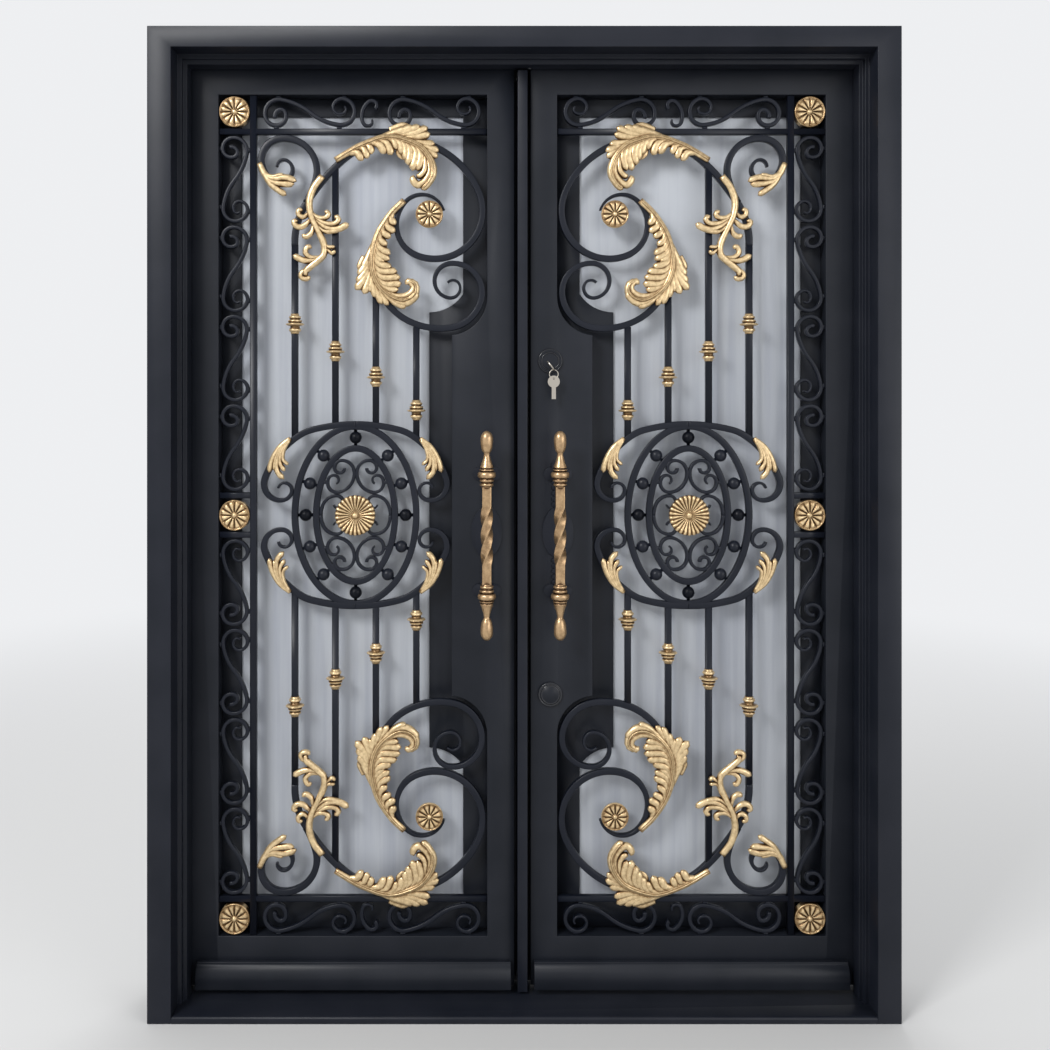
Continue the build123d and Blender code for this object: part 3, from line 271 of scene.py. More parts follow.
class Shape:
    """Vertices and faces in leaf millimetres, placed on a leaf at the end."""

    def __init__(self):
        self.points = []
        self.faces = []

    def add(self, points, faces):
        start = len(self.points)
        self.points.extend(points)
        self.faces.extend(tuple(start + index for index in face) for face in faces)

    def skin(self, rows, ring=False, tube=False, flipped=False, capped=False):
        """Quads between rows of points; ring joins last row to first, tube closes every row."""
        count, size = len(rows), len(rows[0])
        faces = []
        for number in range(count if ring else count - 1):
            low, high = number * size, (number + 1) % count * size
            for index in range(size if tube else size - 1):
                after = (index + 1) % size
                if flipped:
                    faces.append((low + index, high + index, high + after, low + after))
                else:
                    faces.append((low + index, low + after, high + after, high + index))
        if capped:
            ends = (range(size - 1, -1, -1), range((count - 1) * size, count * size))
            faces += [tuple(reversed(end)) if flipped else tuple(end) for end in ends]
        self.add([point for row in rows for point in row], faces)

    def merge(self, other, u=0.0, v=0.0, w=0.0, flip_u=False, flip_v=False, turn=0.0, size=1.0):
        """Add another shape, sized and turned, then mirrored, then moved."""
        across = -1 if flip_u else 1
        up = -1 if flip_v else 1
        c, s = cos(radians(turn)) * size, sin(radians(turn)) * size
        points = [
            (across * (c * pu - s * pv) + u, up * (s * pu + c * pv) + v, pw + w)
            for pu, pv, pw in other.points
        ]
        faces = other.faces if across * up > 0 else [tuple(reversed(face)) for face in other.faces]
        self.add(points, faces)

    def place(self, name, side, slot, nodes=(), mirrored=True):
        """Put the shape on a leaf; a shape that isn't mirrored keeps its hand."""
        sign = SIDES[side]
        hand = sign if mirrored else 1.0
        points = [
            (sign * LEAF_CENTRE_X + hand * u * MM, LEAF_FRONT + w * MM, LEAF_CENTRE_Z + v * MM)
            for u, v, w in self.points
        ]
        faces = self.faces if hand > 0 else [tuple(reversed(face)) for face in self.faces]
        obj = make_object(name, points, faces)
        finish(obj, f"{side}_leaf", slot, nodes)
        return obj


def finish(obj, body, slot, nodes):
    """Let a piece ride its body, paint it and hide the solids it stands for."""
    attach(obj, body)
    paint(obj, slot)
    if nodes:
        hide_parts(*nodes)


def four_quarters(shape):
    whole = Shape()
    for flip_u in (False, True):
        for flip_v in (False, True):
            whole.merge(shape, flip_u=flip_u, flip_v=flip_v)
    return whole


def both_halves(shape):
    """The shape and its mirror below the middle, moved to the panel's centre."""
    whole = Shape()
    whole.merge(shape, u=PANEL_CENTRE)
    whole.merge(shape, u=PANEL_CENTRE, flip_v=True)
    return whole


# Steel members: solids of the frame joined where they are welded, with eased edges


def welded(name, nodes, body, slot, ease):
    """Join the solids and round their edges to a bevel of the given width in metres."""
    base = bpy.data.objects.new(f"{name}_union", frame["nodes"][nodes[0]].data.copy())
    bpy.context.scene.collection.objects.link(base)
    for node in nodes[1:]:
        union = base.modifiers.new(node, "BOOLEAN")
        union.operation = "UNION"
        union.solver = "EXACT"
        union.object = frame["nodes"][node]
    graph = bpy.context.evaluated_depsgraph_get()
    mesh = bpy.data.meshes.new_from_object(base.evaluated_get(graph))
    bpy.data.objects.remove(base)
    work = bmesh.new()
    work.from_mesh(mesh)
    bmesh.ops.remove_doubles(work, verts=work.verts, dist=2e-5)
    bmesh.ops.dissolve_limit(work, angle_limit=radians(1.0), verts=work.verts, edges=work.edges)
    work.to_mesh(mesh)
    work.free()
    obj = bpy.data.objects.new(name, mesh)
    bpy.context.scene.collection.objects.link(obj)
    bevel = obj.modifiers.new("ease", "BEVEL")
    bevel.width = ease
    bevel.segments = 2
    bevel.limit_method = "ANGLE"
    bevel.angle_limit = radians(35)
    bevel.harden_normals = True
    mesh.polygons.foreach_set("use_smooth", [True] * len(mesh.polygons))
    finish(obj, body, slot, nodes)


# Bars that follow tangent arcs, as on the solids

ARC_STEP = 5.0
ARC_TURN = 7.0


def follow(start, heading, bends):
    """Stations (u, v, heading, distance) along arcs; a positive turn is to the left."""
    x, y = start
    direction, travelled = heading, 0.0
    stations = [(x, y, direction, travelled)]
    for radius, turn in bends:
        centre_angle = radians(direction + (90.0 if turn > 0 else -90.0))
        centre = (x + radius * cos(centre_angle), y + radius * sin(centre_angle))
        length = radius * radians(abs(turn))
        pieces = max(2, int(max(length / ARC_STEP, abs(turn) / ARC_TURN)))
        for number in range(1, pieces + 1):
            part = turn * number / pieces
            angle = centre_angle + pi + radians(part)
            x, y = centre[0] + radius * cos(angle), centre[1] + radius * sin(angle)
            stations.append((x, y, direction + part, travelled + length * number / pieces))
        direction += turn
        travelled += length
    return stations


def bar_section(width, front, depth):
    """A flat bar's section with eased corners, as (across, w) pairs."""
    half = width / 2
    ease = min(EDGE_EASE, half * 0.6)
    round_off = ease * 0.3
    back = front + depth
    return [
        (-half, front + ease), (-half, back - ease), (-half + ease, back), (half - ease, back),
        (half, back - ease), (half, front + ease), (half - round_off, front + round_off),
        (half - ease, front), (-half + ease, front), (-half + round_off, front + round_off),
    ]


def swept_bar(shape, stations, width_at, front, depth):
    rows = []
    for u, v, heading, travelled in stations:
        side_u, side_v = cos(radians(heading - 90.0)), sin(radians(heading - 90.0))
        section = bar_section(width_at(travelled), front, depth)
        rows.append([(u + across * side_u, v + across * side_v, w) for across, w in section])
    shape.skin(rows, tube=True, capped=True)


def scroll_bar(shape, drawing, width, tip, taper_from, front=BAR_FRONT, depth=BAR_DEPTH):
    """A bar that keeps its width up to the arc taper_from, then thins evenly to its tip."""
    start, heading, bends = drawing
    lengths = [radius * radians(abs(turn)) for radius, turn in bends]
    plain, total = sum(lengths[:taper_from]), sum(lengths)

    def width_at(travelled):
        share = max(0.0, (travelled - plain) / (total - plain))
        return width + (tip - width) * min(1.0, share)

    swept_bar(shape, follow(start, heading, bends), width_at, front, depth)


def straight_bar(shape, start, end, width, front=BAR_FRONT, depth=BAR_DEPTH):
    rise, run = end[1] - start[1], end[0] - start[0]
    heading = degrees(atan2(rise, run))
    stations = [(*start, heading, 0.0), (*end, heading, sqrt(rise**2 + run**2))]
    swept_bar(shape, stations, lambda travelled: width, front, depth)


# Scroll drawings: start, heading, then each arc's radius and turn in degrees
SCROLL_1 = ((-1.5 * BAR_PITCH, 590.0), 93.0,
            [(156, -34), (425, -17), (189, -110), (105, -134), (71, -56), (75, -54), (50, -120)])
SCROLL_2 = ((106.0, 688.0), -141.0, [(179, 50), (139, 67), (157, 32), (81, 72), (64, 104), (38.5, 123),
                                     (36.5, 45), (21.5, 117), (15.5, 120)])
SCROLL_A = ((-109.0, 684.0), 59.0,
            [(196, 17), (71, 113), (47.5, 106), (64, 23), (30, 106), (23, 88), (15, 120)])
BRACKET = ((0.0, 199.0), 180.0, [(375, 15), (90, 17), (188, 38), (36, 120), (23, 67), (16.5, 93), (14, 90)])
HEART = ((-24.5, 102.5), -88.0, [(10, -90), (11.5, -94), (16, -83), (26, -84), (41.5, -90), (21, -130),
                                 (12.5, -82), (10, -93), (8.5, -40)])
SIDE_C = ((-76.0, 0.0), 90.0, [(60, -20), (33, -70), (14, -150), (9, -110)])
S_SCROLL = ((-11.2, 71.0), 15.0, [(13.6, -87), (9.8, -87), (19.3, -110), (23.6, -81), (28.7, -110.5),
                                  (136, -28), (114, 32.5), (27, 168), (19.5, 83), (14.2, 53), (14.4, 103),
                                  (7.6, 100)])
SMALL_C = ((6.6, 8.0), 37.0, [(9.5, 110), (12, 73), (40, 70), (12, 73), (9.5, 110)])

# Welds of the border S: side of the strap and height
STRAP_WELDS = ((1, 64.0), (-1, 68.0), (-1, -60.0), (1, -70.0))
WELD_LENGTH = 4.0
WELD_WIDTH = 10.0
WELD_SETBACK = 1.0

# Upright bars: place in pitches from the panel's centre, then foot, top and the collar's height
BARS = {-1.5: (166.0, 590.0, 419.0), -0.5: (195.0, 764.0, 359.0), 0.5: (195.0, 505.0, 303.0),
        1.5: (166.0, 412.0, 230.0)}

SCROLL_ROSETTE = (162.0, 658.0)
ROSETTE_STEM = ((0, BAR_FRONT + BAR_DEPTH), (24, BAR_FRONT + BAR_DEPTH), (27, BAR_FRONT))
MEDALLION_OUTER = (133.0, 194.0)
MEDALLION_INNER = (86.2, 146.0)
BALL_ANGLES = (0.0, 24.0, 50.0, 90.0)
BALL_RADIUS = 13.5
BALL_PIN = 3.5

# Short struts that join the inner oval to its heart scrolls and side scrolls
MEDALLION_STRUTS = (((-45.0, 105.0), (-53.0, 117.0)), ((-58.0, 72.0), (-74.0, 72.0)))


def scroll_grille():
    shape = Shape()
    for drawing, taper_from in ((SCROLL_1, 4), (SCROLL_2, 4), (SCROLL_A, 3)):
        scroll_bar(shape, drawing, BAR_WIDTH, BAR_TIP, taper_from)
    for step, (foot, top, _) in BARS.items():
        ends = [(step * BAR_PITCH, foot), (step * BAR_PITCH, top)]
        straight_bar(shape, *ends, BAR_WIDTH, BAR_FRONT + UPRIGHT_SETBACK, BAR_DEPTH - UPRIGHT_SETBACK)
    turned_about_w(shape, SCROLL_ROSETTE, ROSETTE_STEM)
    return both_halves(shape)


def ellipse_ring(shape, radii, width, setback):
    """A closed oval bar."""
    count = 144
    rows = []
    for number in range(count):
        angle = 2 * pi * number / count
        u, v = radii[0] * cos(angle), radii[1] * sin(angle)
        normal = (cos(angle) / radii[0], sin(angle) / radii[1])
        length = sqrt(normal[0] ** 2 + normal[1] ** 2)
        section = bar_section(width, BAR_FRONT + setback, BAR_DEPTH - setback)
        rows.append([(u + a * normal[0] / length, v + a * normal[1] / length, w) for a, w in section])
    shape.skin(rows, ring=True, tube=True)


def turned_about_w(shape, centre, outline):
    """Turn an outline of (radius, w) pairs about an axis that points at the viewer."""
    count = 48
    rows = []
    for number in range(count):
        angle = 2 * pi * number / count
        c, s = cos(angle), sin(angle)
        rows.append([(centre[0] + radius * c, centre[1] + radius * s, w) for radius, w in outline])
    shape.skin(rows, ring=True, flipped=True)


def turned_about_v(shape, centre, outline, count=40):
    """Turn an outline of (radius, v) pairs about an upright axis at (u, v, w)."""
    u, v, w = centre
    rows = []
    for number in range(count):
        angle = 2 * pi * number / count
        c, s = cos(angle), sin(angle)
        rows.append([(u + radius * c, v + rise, w + radius * s) for radius, rise in outline])
    shape.skin(rows, ring=True)


def ball(shape, centre, radius):
    steps = 14
    outline = [(radius * sin(pi * n / steps), radius * cos(pi * n / steps)) for n in range(steps + 1)]
    turned_about_v(shape, centre, list(reversed(outline)), 2 * steps)


def medallion():
    quarter = Shape()
    scroll_bar(quarter, BRACKET, BAR_WIDTH, BAR_TIP, 3)
    scroll_bar(quarter, HEART, HEART_BAR, THIN_TIP, 6)
    scroll_bar(quarter, SIDE_C, HEART_BAR, THIN_TIP, 2)
    strut_front, strut_depth = BAR_FRONT + UPRIGHT_SETBACK, BAR_DEPTH - 2 * UPRIGHT_SETBACK
    for start, end in MEDALLION_STRUTS:
        straight_bar(quarter, start, end, HEART_BAR, strut_front, strut_depth)
    whole = four_quarters(quarter)
    ellipse_ring(whole, MEDALLION_OUTER, BAR_WIDTH, RING_SETBACK)
    ellipse_ring(whole, MEDALLION_INNER, BAR_WIDTH, RING_SETBACK)
    placed = Shape()
    placed.merge(whole, u=PANEL_CENTRE)
    return placed


def medallion_balls():
    """Balls between the two ovals, each on a pin that reaches into both."""
    quarter = Shape()
    middle = [(outer + inner) / 2 for outer, inner in zip(MEDALLION_OUTER, MEDALLION_INNER)]
    reach = (MEDALLION_OUTER[0] - MEDALLION_INNER[0]) / 2 - BAR_WIDTH / 2 + 1
    for angle in BALL_ANGLES:
        across, up = cos(radians(angle)), sin(radians(angle))
        u, v = middle[0] * across, middle[1] * up
        ball(quarter, (u, v, BAR_MIDDLE), BALL_RADIUS)
        heading = atan2(up / middle[1], across / middle[0])
        du, dv = reach * cos(heading), reach * sin(heading)
        ends = [(u - du, v - dv), (u + du, v + dv)]
        straight_bar(quarter, *ends, 2 * BALL_PIN, BAR_MIDDLE - BALL_PIN, 2 * BALL_PIN)
    placed = Shape()
    placed.merge(four_quarters(quarter), u=PANEL_CENTRE)
    return placed


def border_bars():
    shape = Shape()
    bar_u = -HALF_U + BORDER_BAR_CENTRE
    straight_bar(shape, (bar_u, -HALF_V), (bar_u, HALF_V), BORDER_BAR_WIDTH)
    for v in (PANEL_TOP, -PANEL_TOP):
        straight_bar(shape, (-HALF_U, v), (HALF_U, v), BORDER_RAIL_WIDTH, BAR_FRONT + RAIL_SETBACK)
    for v in (MIDDLE_RAIL, -MIDDLE_RAIL):
        straight_bar(shape, (-HALF_U, v), (bar_u, v), BORDER_RAIL_WIDTH, BAR_FRONT + RAIL_SETBACK)
    return shape


def strap():
    """One border S with its weld beads, drawn upright."""
    shape = Shape()
    scroll_bar(shape, S_SCROLL, STRAP_WIDTH, THIN_TIP, 8, STRAP_FRONT, STRAP_DEPTH)
    for side, v in STRAP_WELDS:
        edge = side * DRAWN_STRAP_WIDTH / 2
        ends = [(edge - side * WELD_LENGTH, v), (edge, v)]
        straight_bar(shape, *ends, WELD_WIDTH, STRAP_FRONT + WELD_SETBACK, STRAP_DEPTH - 2 * WELD_SETBACK)
    return shape


def border_scrolls():
    """Four S scrolls up the column, and a C between two S scrolls along the row, above and below."""
    one = strap()
    upper = Shape()
    column_u = -HALF_U + COLUMN_WIDTH / 2
    low = MIDDLE_RAIL + BORDER_RAIL_WIDTH / 2
    pitch = (PANEL_TOP - BORDER_RAIL_WIDTH / 2 - low) / COLUMN_SCROLLS
    for number in range(COLUMN_SCROLLS):
        upper.merge(one, u=column_u, v=low + (number + 0.5) * pitch)
    row_v = HALF_V - ROW_HEIGHT / 2
    row_centre = (PANEL_HINGE + HALF_U) / 2
    row_half = (HALF_U - PANEL_HINGE) / 2
    for side in (1, -1):
        upper.merge(one, u=row_centre + side * ROW_REACH * row_half, v=row_v, turn=90.0,
                    size=ROW_HEIGHT / DRAWN_STRAP_WIDTH)
    small = Shape()
    scroll_bar(small, SMALL_C, STRAP_WIDTH, THIN_TIP, 3, STRAP_FRONT, STRAP_DEPTH)
    upper.merge(small, u=row_centre, v=row_v)
    whole = Shape()
    whole.merge(upper)
    whole.merge(upper, flip_v=True)
    return whole


# Gilded ornament

ROSETTE_PETALS = 12
ROSETTE_DEPTH = 9.0
ROSETTE_BACK = 8.0
PANEL_ROSETTE_RADIUS = 30.0
DAISY_FLUTES = 26
DAISY_DEPTH = 12.0
DAISY_RADIUS = 44.0
DAISY_BACK = ((0.0, 6.0), (44.0, 4.0))


def relief_disc(shape, centre, radius, back, height, rings=22, spokes=156, edge=None):
    """A round relief: height(share of radius, angle) gives how far it stands off its back."""
    u, v = centre
    rows = []
    for number in range(spokes):
        angle = 2 * pi * number / spokes
        reach = radius * (edge(angle) if edge else 1.0)
        row = []
        for ring in range(rings + 1):
            share = ring / rings
            w = back - height(share, angle)
            row.append((u + reach * share * cos(angle), v + reach * share * sin(angle), w))
        row.append((u + reach * cos(angle), v + reach * sin(angle), back))
        rows.append(row)
    shape.skin(rows, ring=True)


def hump(value, centre, half_width):
    """A round hump between 0 and 1."""
    share = abs(value - centre) / half_width
    return sqrt(max(0.0, 1.0 - share * share))


def across_petal(angle, count):
    """Place across the petal that the angle falls in, from -0.5 to 0.5."""
    return (angle * count / (2 * pi)) % 1.0 - 0.5


def rosette_height(share, angle):
    """Rim, petals with creases between them, and a boss, over a sunk ground."""
    ground, fullest = 0.42, 0.66
    boss = ground + 0.58 * hump(share, 0.0, 0.19)
    rim = 0.9 * hump(share, 0.945, 0.055)
    opening = min(1.0, max(0.0, (share - 0.14) / 0.35))
    petal = hump(across_petal(angle, ROSETTE_PETALS), 0.0, 0.34 + 0.12 * opening)
    closing = hump(share, fullest, 0.24) if share > fullest else 0.45 + 0.55 * share / fullest
    leaf = ground + 0.42 * petal * closing * min(1.0, opening * 2 + 0.2)
    return ROSETTE_DEPTH * max(leaf, boss, rim)


def daisy_height(share, angle):
    """A dished flower: the flutes rise from the boss to a rounded lip."""
    lip = 0.82
    boss = 0.8 * hump(share, 0.0, 0.2)
    rise = hump(share, 0.80, 0.24) if share > lip else (share / lip) ** 1.5
    dish = 0.30 + 0.55 * rise
    across = across_petal(angle, DAISY_FLUTES)
    flute = 1.0 - 0.32 * (abs(across) * 2) ** 2 * min(1.0, share * 2.2)
    return DAISY_DEPTH * max(dish * flute, boss)


def daisy_edge(angle):
    """Scalloped edge: each flute ends in a shallow round."""
    return 1.0 - 0.045 * (abs(across_petal(angle, DAISY_FLUTES)) * 2) ** 2


def border_rosettes():
    shape = Shape()
    radius = COLUMN_WIDTH / 2
    for v in (-(HALF_V - ROW_HEIGHT / 2), 0.0, HALF_V - ROW_HEIGHT / 2):
        centre = (-HALF_U + radius, v)
        relief_disc(shape, centre, radius, ROSETTE_BACK, rosette_height)
        turned_about_w(shape, centre, [(radius, ROSETTE_BACK), (radius, BAR_FRONT + BAR_DEPTH)])
    return shape


def panel_rosettes():
    upper = Shape()
    relief_disc(upper, SCROLL_ROSETTE, PANEL_ROSETTE_RADIUS, BAR_FRONT, rosette_height)
    shape = both_halves(upper)
    middle = (PANEL_CENTRE, 0.0)
    relief_disc(shape, middle, DAISY_RADIUS, BAR_FRONT, daisy_height, rings=26, spokes=312, edge=daisy_edge)
    turned_about_w(shape, middle, DAISY_BACK)
    return shape


def half_round(radius, bulge, low, high, count=5):
    """A rounded ring between two heights on a turned outline."""
    pairs = []
    for number in range(count + 1):
        angle = pi * number / count
        middle = (low + high) / 2
        pairs.append((radius + bulge * sin(angle), middle - (high - low) / 2 * cos(angle)))
    return pairs


def bar_collars():
    """Two rings over a wide pointed disc, with one ring below it."""
    outline = [(7.0, -22.0), (9.0, -22.0), (9.5, -18.5)]
    outline += half_round(10.0, 3.2, -17.5, -9.5)
    outline += [(10.2, -8.5), (10.6, -4.6), (17.0, -3.6), (20.0, -1.8), (20.4, -1.0), (19.6, 0.0)]
    outline += [(15.8, 1.6)]
    outline += half_round(13.2, 2.0, 2.4, 8.6)
    outline += [(11.2, 9.4), (11.0, 10.2)]
    outline += half_round(10.8, 2.4, 11.0, 17.0)
    outline += [(9.5, 18.2), (9.0, 22.0), (7.0, 22.0)]
    upper = Shape()
    for step, (_, _, height) in BARS.items():
        turned_about_v(upper, (step * BAR_PITCH, height, BAR_MIDDLE), outline)
    return both_halves(upper)


KNOT_STEPS = 10


def smooth_path(knots, count):
    """Points, headings and shares along a rounded path through the knots."""
    knots = [(2 * knots[0][0] - knots[1][0], 2 * knots[0][1] - knots[1][1]), *knots,
             (2 * knots[-1][0] - knots[-2][0], 2 * knots[-1][1] - knots[-2][1])]
    dense = []
    for span in range(len(knots) - 3):
        a, b, c, d = knots[span:span + 4]
        for number in range(KNOT_STEPS):
            t = number / KNOT_STEPS
            dense.append(tuple(
                0.5 * (2 * b[k] + (c[k] - a[k]) * t + (2 * a[k] - 5 * b[k] + 4 * c[k] - d[k]) * t * t
                       + (3 * b[k] - a[k] - 3 * c[k] + d[k]) * t ** 3) for k in (0, 1)
            ))
    dense.append(knots[-2])
    lengths = [0.0]
    for one, two in zip(dense, dense[1:]):
        lengths.append(lengths[-1] + sqrt((two[0] - one[0]) ** 2 + (two[1] - one[1]) ** 2))
    stations = []
    index = 0
    for number in range(count):
        target = lengths[-1] * number / (count - 1)
        while index < len(dense) - 2 and lengths[index + 1] < target:
            index += 1
        part = (target - lengths[index]) / max(1e-6, lengths[index + 1] - lengths[index])
        one, two = dense[index], dense[index + 1]
        place = (one[0] + (two[0] - one[0]) * part, one[1] + (two[1] - one[1]) * part)
        stations.append((*place, degrees(atan2(two[1] - one[1], two[0] - one[0])), number / (count - 1)))
    return stations


# Crown of a leaf's lobe, as shares of its half width and height
FINGER_SECTION = (
    (-1.0, 0.30), (-0.86, 0.62), (-0.5, 0.90), (0.0, 1.0), (0.5, 0.90), (0.86, 0.62), (1.0, 0.30)
)


def finger(shape, knots, width, rise, root=0.6, lift=2.0, count=16):
    """One rounded lobe of a leaf that swells, thins to its tip and lifts forward there."""
    rows = []
    length = sum(dist(one, two) for one, two in zip(knots, knots[1:]))
    tip_from = max(0.45, 1.0 - 0.62 * width / length)
    for u, v, heading, share in smooth_path(knots, count):
        swell = root + (1.0 - root) * sin(pi / 2 * min(1.0, share / 0.7))
        close = sqrt(max(0.01, 1.0 - (max(0.0, share - tip_from) / (1.0 - tip_from)) ** 2))
        half = width / 2 * swell * close
        crown = rise * (0.75 + 0.25 * sin(pi * share)) + lift * share * share
        foot = BAR_FRONT - lift * share * share * 0.8
        side_u, side_v = cos(radians(heading - 90.0)), sin(radians(heading - 90.0))
        row = []
        for across, height in FINGER_SECTION:
            w = BAR_FRONT - crown * height * (0.55 + 0.45 * close)
            row.append((u + across * half * side_u, v + across * half * side_v, w))
        row.append((u + half * side_u, v + half * side_v, foot))
        row.append((u - half * side_u, v - half * side_v, foot))
        rows.append(row)
    shape.skin(rows, tube=True, flipped=True, capped=True)


def between(first, second, share):
    return tuple(a + (b - a) * share for a, b in zip(first, second))


SPINE_STATIONS = 60
ROOT_LEAD = 0.045
FINGER_SPREAD = 1.25
KNEE_SHARE = 0.6
BLADE_SHARE = 0.85


def fan(shape, spine, reach, tips, width, rise):
    """Fingers that leave the spine along its heading and bend out to their tips, over a low blade."""
    stations = smooth_path(spine, SPINE_STATIONS)
    last = SPINE_STATIONS - 1
    middle = between(tips[0], tips[-1], 0.5)
    start = stations[int((reach[0] + reach[1]) / 2 * last)][:2]
    blade = [start, between(start, middle, 0.5), between(start, middle, BLADE_SHARE)]
    finger(shape, blade, dist(tips[0], tips[-1]) + 0.4 * width, 0.5 * rise, root=0.8, lift=0.0)
    for number, tip in enumerate(tips):
        share = reach[0] + (reach[1] - reach[0]) * number / max(1, len(tips) - 1) - ROOT_LEAD
        u, v, heading, _ = stations[int(max(0.0, share) * last)]
        ahead = KNEE_SHARE * sqrt((tip[0] - u) ** 2 + (tip[1] - v) ** 2)
        forward = (u + ahead * cos(radians(heading)), v + ahead * sin(radians(heading)))
        knee = between(forward, between((u, v), tip, KNEE_SHARE), 0.5)
        finger(shape, [(u, v), knee, tip], FINGER_SPREAD * width, rise, lift=2.5)


# Leaf drawings. A fan has the shares of the spine where it starts and ends, its fingers' tips,
# and their width and height; a curl has its path and width
SPINE_1 = [(-43.7, 776.1), (-12.4, 794.9), (18.9, 810.5), (69.1, 826.2), (112.9, 818.4), (144.3, 802.7),
           (164.6, 776.1), (170.5, 747.9), (158.0, 724.5), (144.3, 711.8)]
FANS_1 = (
    ((0.16, 0.27), [(17.0, 775.0), (27.0, 779.5), (36.0, 789.0)], 15.0, 8.0),
    ((0.30, 0.42), [(67.0, 790.0), (80.0, 787.0), (92.6, 798.5)], 16.0, 8.5),
    ((0.44, 0.62), [(106.0, 787.5), (112.5, 775.0), (116.5, 764.5), (124.5, 753.0), (137.0, 752.0)],
     17.0, 9.0),
    ((0.36, 0.50), [(114.5, 845.0), (128.0, 849.5), (143.0, 850.5), (159.0, 848.0), (164.0, 834.0)],
     15.0, 6.5),
    ((0.55, 0.66), [(174.5, 811.0), (183.0, 796.0), (180.0, 781.5)], 15.0, 6.5),
)
END_CURLS_1 = (
    ([(158.0, 782.0), (163.0, 752.0), (152.0, 730.0), (137.0, 722.0), (127.0, 732.0), (128.0, 743.0)], 17.0),
    ([(153.0, 786.0), (152.0, 756.0), (142.0, 742.0), (133.0, 743.0)], 15.0),
    ([(163.0, 780.0), (171.0, 752.0), (161.0, 727.0), (144.5, 711.5)], 15.0),
)
SPINE_2 = [(106.7, 688.3), (78.5, 660.1), (53.4, 622.5), (40.9, 588.1), (36.2, 553.6), (40.9, 525.4),
           (53.4, 500.4), (75.3, 480.0), (100.4, 469.0), (122.3, 475.3), (133.3, 490.9), (128.6, 507.0),
           (113.5, 511.5)]
FANS_2 = (
    ((0.15, 0.25), [(88.0, 634.0), (87.5, 619.0), (78.5, 607.5)], 15.0, 8.0),
    ((0.29, 0.40), [(69.5, 588.5), (77.0, 570.0), (75.5, 557.5), (65.0, 552.0)], 15.0, 8.5),
    ((0.43, 0.60), [(80.0, 541.0), (92.0, 532.5), (99.0, 520.0), (101.0, 507.0), (95.0, 493.0)], 16.0, 9.0),
    ((0.33, 0.38), [(25.0, 556.0), (29.0, 546.0)], 10.0, 6.0),
    ((0.36, 0.52), [(16.0, 537.0), (6.5, 523.0), (3.5, 507.0), (0.5, 493.0), (18.0, 484.0), (32.0, 488.0)],
     16.0, 7.0),
    ((0.50, 0.60), [(46.0, 475.0), (59.0, 461.5), (73.0, 459.0)], 14.0, 7.0),
)
END_CURLS_2 = (
    ([(54.0, 500.0), (72.0, 478.0), (98.0, 465.0), (118.0, 468.0), (138.0, 488.0)], 19.0),
    ([(62.0, 500.0), (82.0, 482.0), (104.0, 478.0), (122.0, 486.0), (128.0, 500.0), (118.0, 511.0),
      (109.0, 505.0)], 16.0),
    ([(60.0, 492.0), (80.0, 470.0), (98.0, 459.0), (112.0, 456.5)], 14.0),
)
SPINE_3 = [(-71.9, 741.6), (-90.7, 716.5), (-100.1, 688.3), (-98.0, 660.1), (-87.6, 635.1), (-75.0, 610.0),
           (-67.2, 588.1), (-68.8, 569.3), (-81.3, 556.8), (-97.0, 544.2), (-109.5, 531.7), (-104.0, 521.5)]
CURLS_3 = (
    ([(-100.1, 662.0), (-112.0, 652.0), (-123.0, 656.0), (-123.5, 666.0), (-114.2, 667.4)], 10.0),
    ([(-95.0, 648.0), (-112.7, 632.4), (-127.0, 631.0), (-134.0, 641.0), (-125.0, 644.5)], 11.0),
    ([(-90.7, 636.0), (-95.0, 618.3), (-106.4, 609.0), (-116.8, 613.1)], 10.0),
    ([(-97.0, 662.0), (-82.0, 650.7), (-66.0, 650.0), (-58.0, 658.3), (-66.8, 665.8)], 10.0),
    ([(-95.0, 655.0), (-66.0, 638.5), (-44.6, 637.3), (-36.5, 647.7), (-45.9, 654.9)], 11.0),
    ([(-92.0, 648.0), (-62.2, 628.2), (-38.3, 625.8), (-14.0, 637.6)], 13.0),
    ([(-90.0, 640.0), (-70.0, 622.0), (-52.0, 620.0), (-34.0, 624.0)], 9.0),
    ([(-70.0, 568.0), (-90.0, 556.8), (-113.9, 557.9), (-136.1, 568.7)], 12.0),
    ([(-75.0, 563.9), (-97.0, 563.2), (-108.9, 574.1), (-104.2, 586.5), (-94.8, 584.5)], 10.0),
    ([(-67.0, 594.0), (-58.0, 586.0), (-43.7, 586.5)], 8.0),
    ([(-67.0, 586.0), (-57.5, 577.8), (-50.0, 573.0), (-43.7, 579.7)], 8.0),
    ([(-93.0, 547.0), (-104.0, 538.0), (-117.0, 530.0), (-117.5, 520.0), (-106.0, 517.0), (-98.5, 523.0)],
     10.0),
)
CURLS_4 = (
    ([(-209.8, 769.8), (-197.2, 744.7), (-177.0, 735.3), (-153.4, 738.0), (-128.3, 729.6)], 14.0),
    ([(-208.0, 766.0), (-190.0, 734.0), (-166.0, 725.0), (-133.0, 724.0)], 13.0),
    ([(-207.0, 762.0), (-187.0, 727.0), (-168.0, 711.0), (-150.2, 699.3)], 12.0),
    ([(-200.0, 748.0), (-182.0, 740.0), (-166.0, 743.0), (-155.0, 744.0)], 9.0),
)
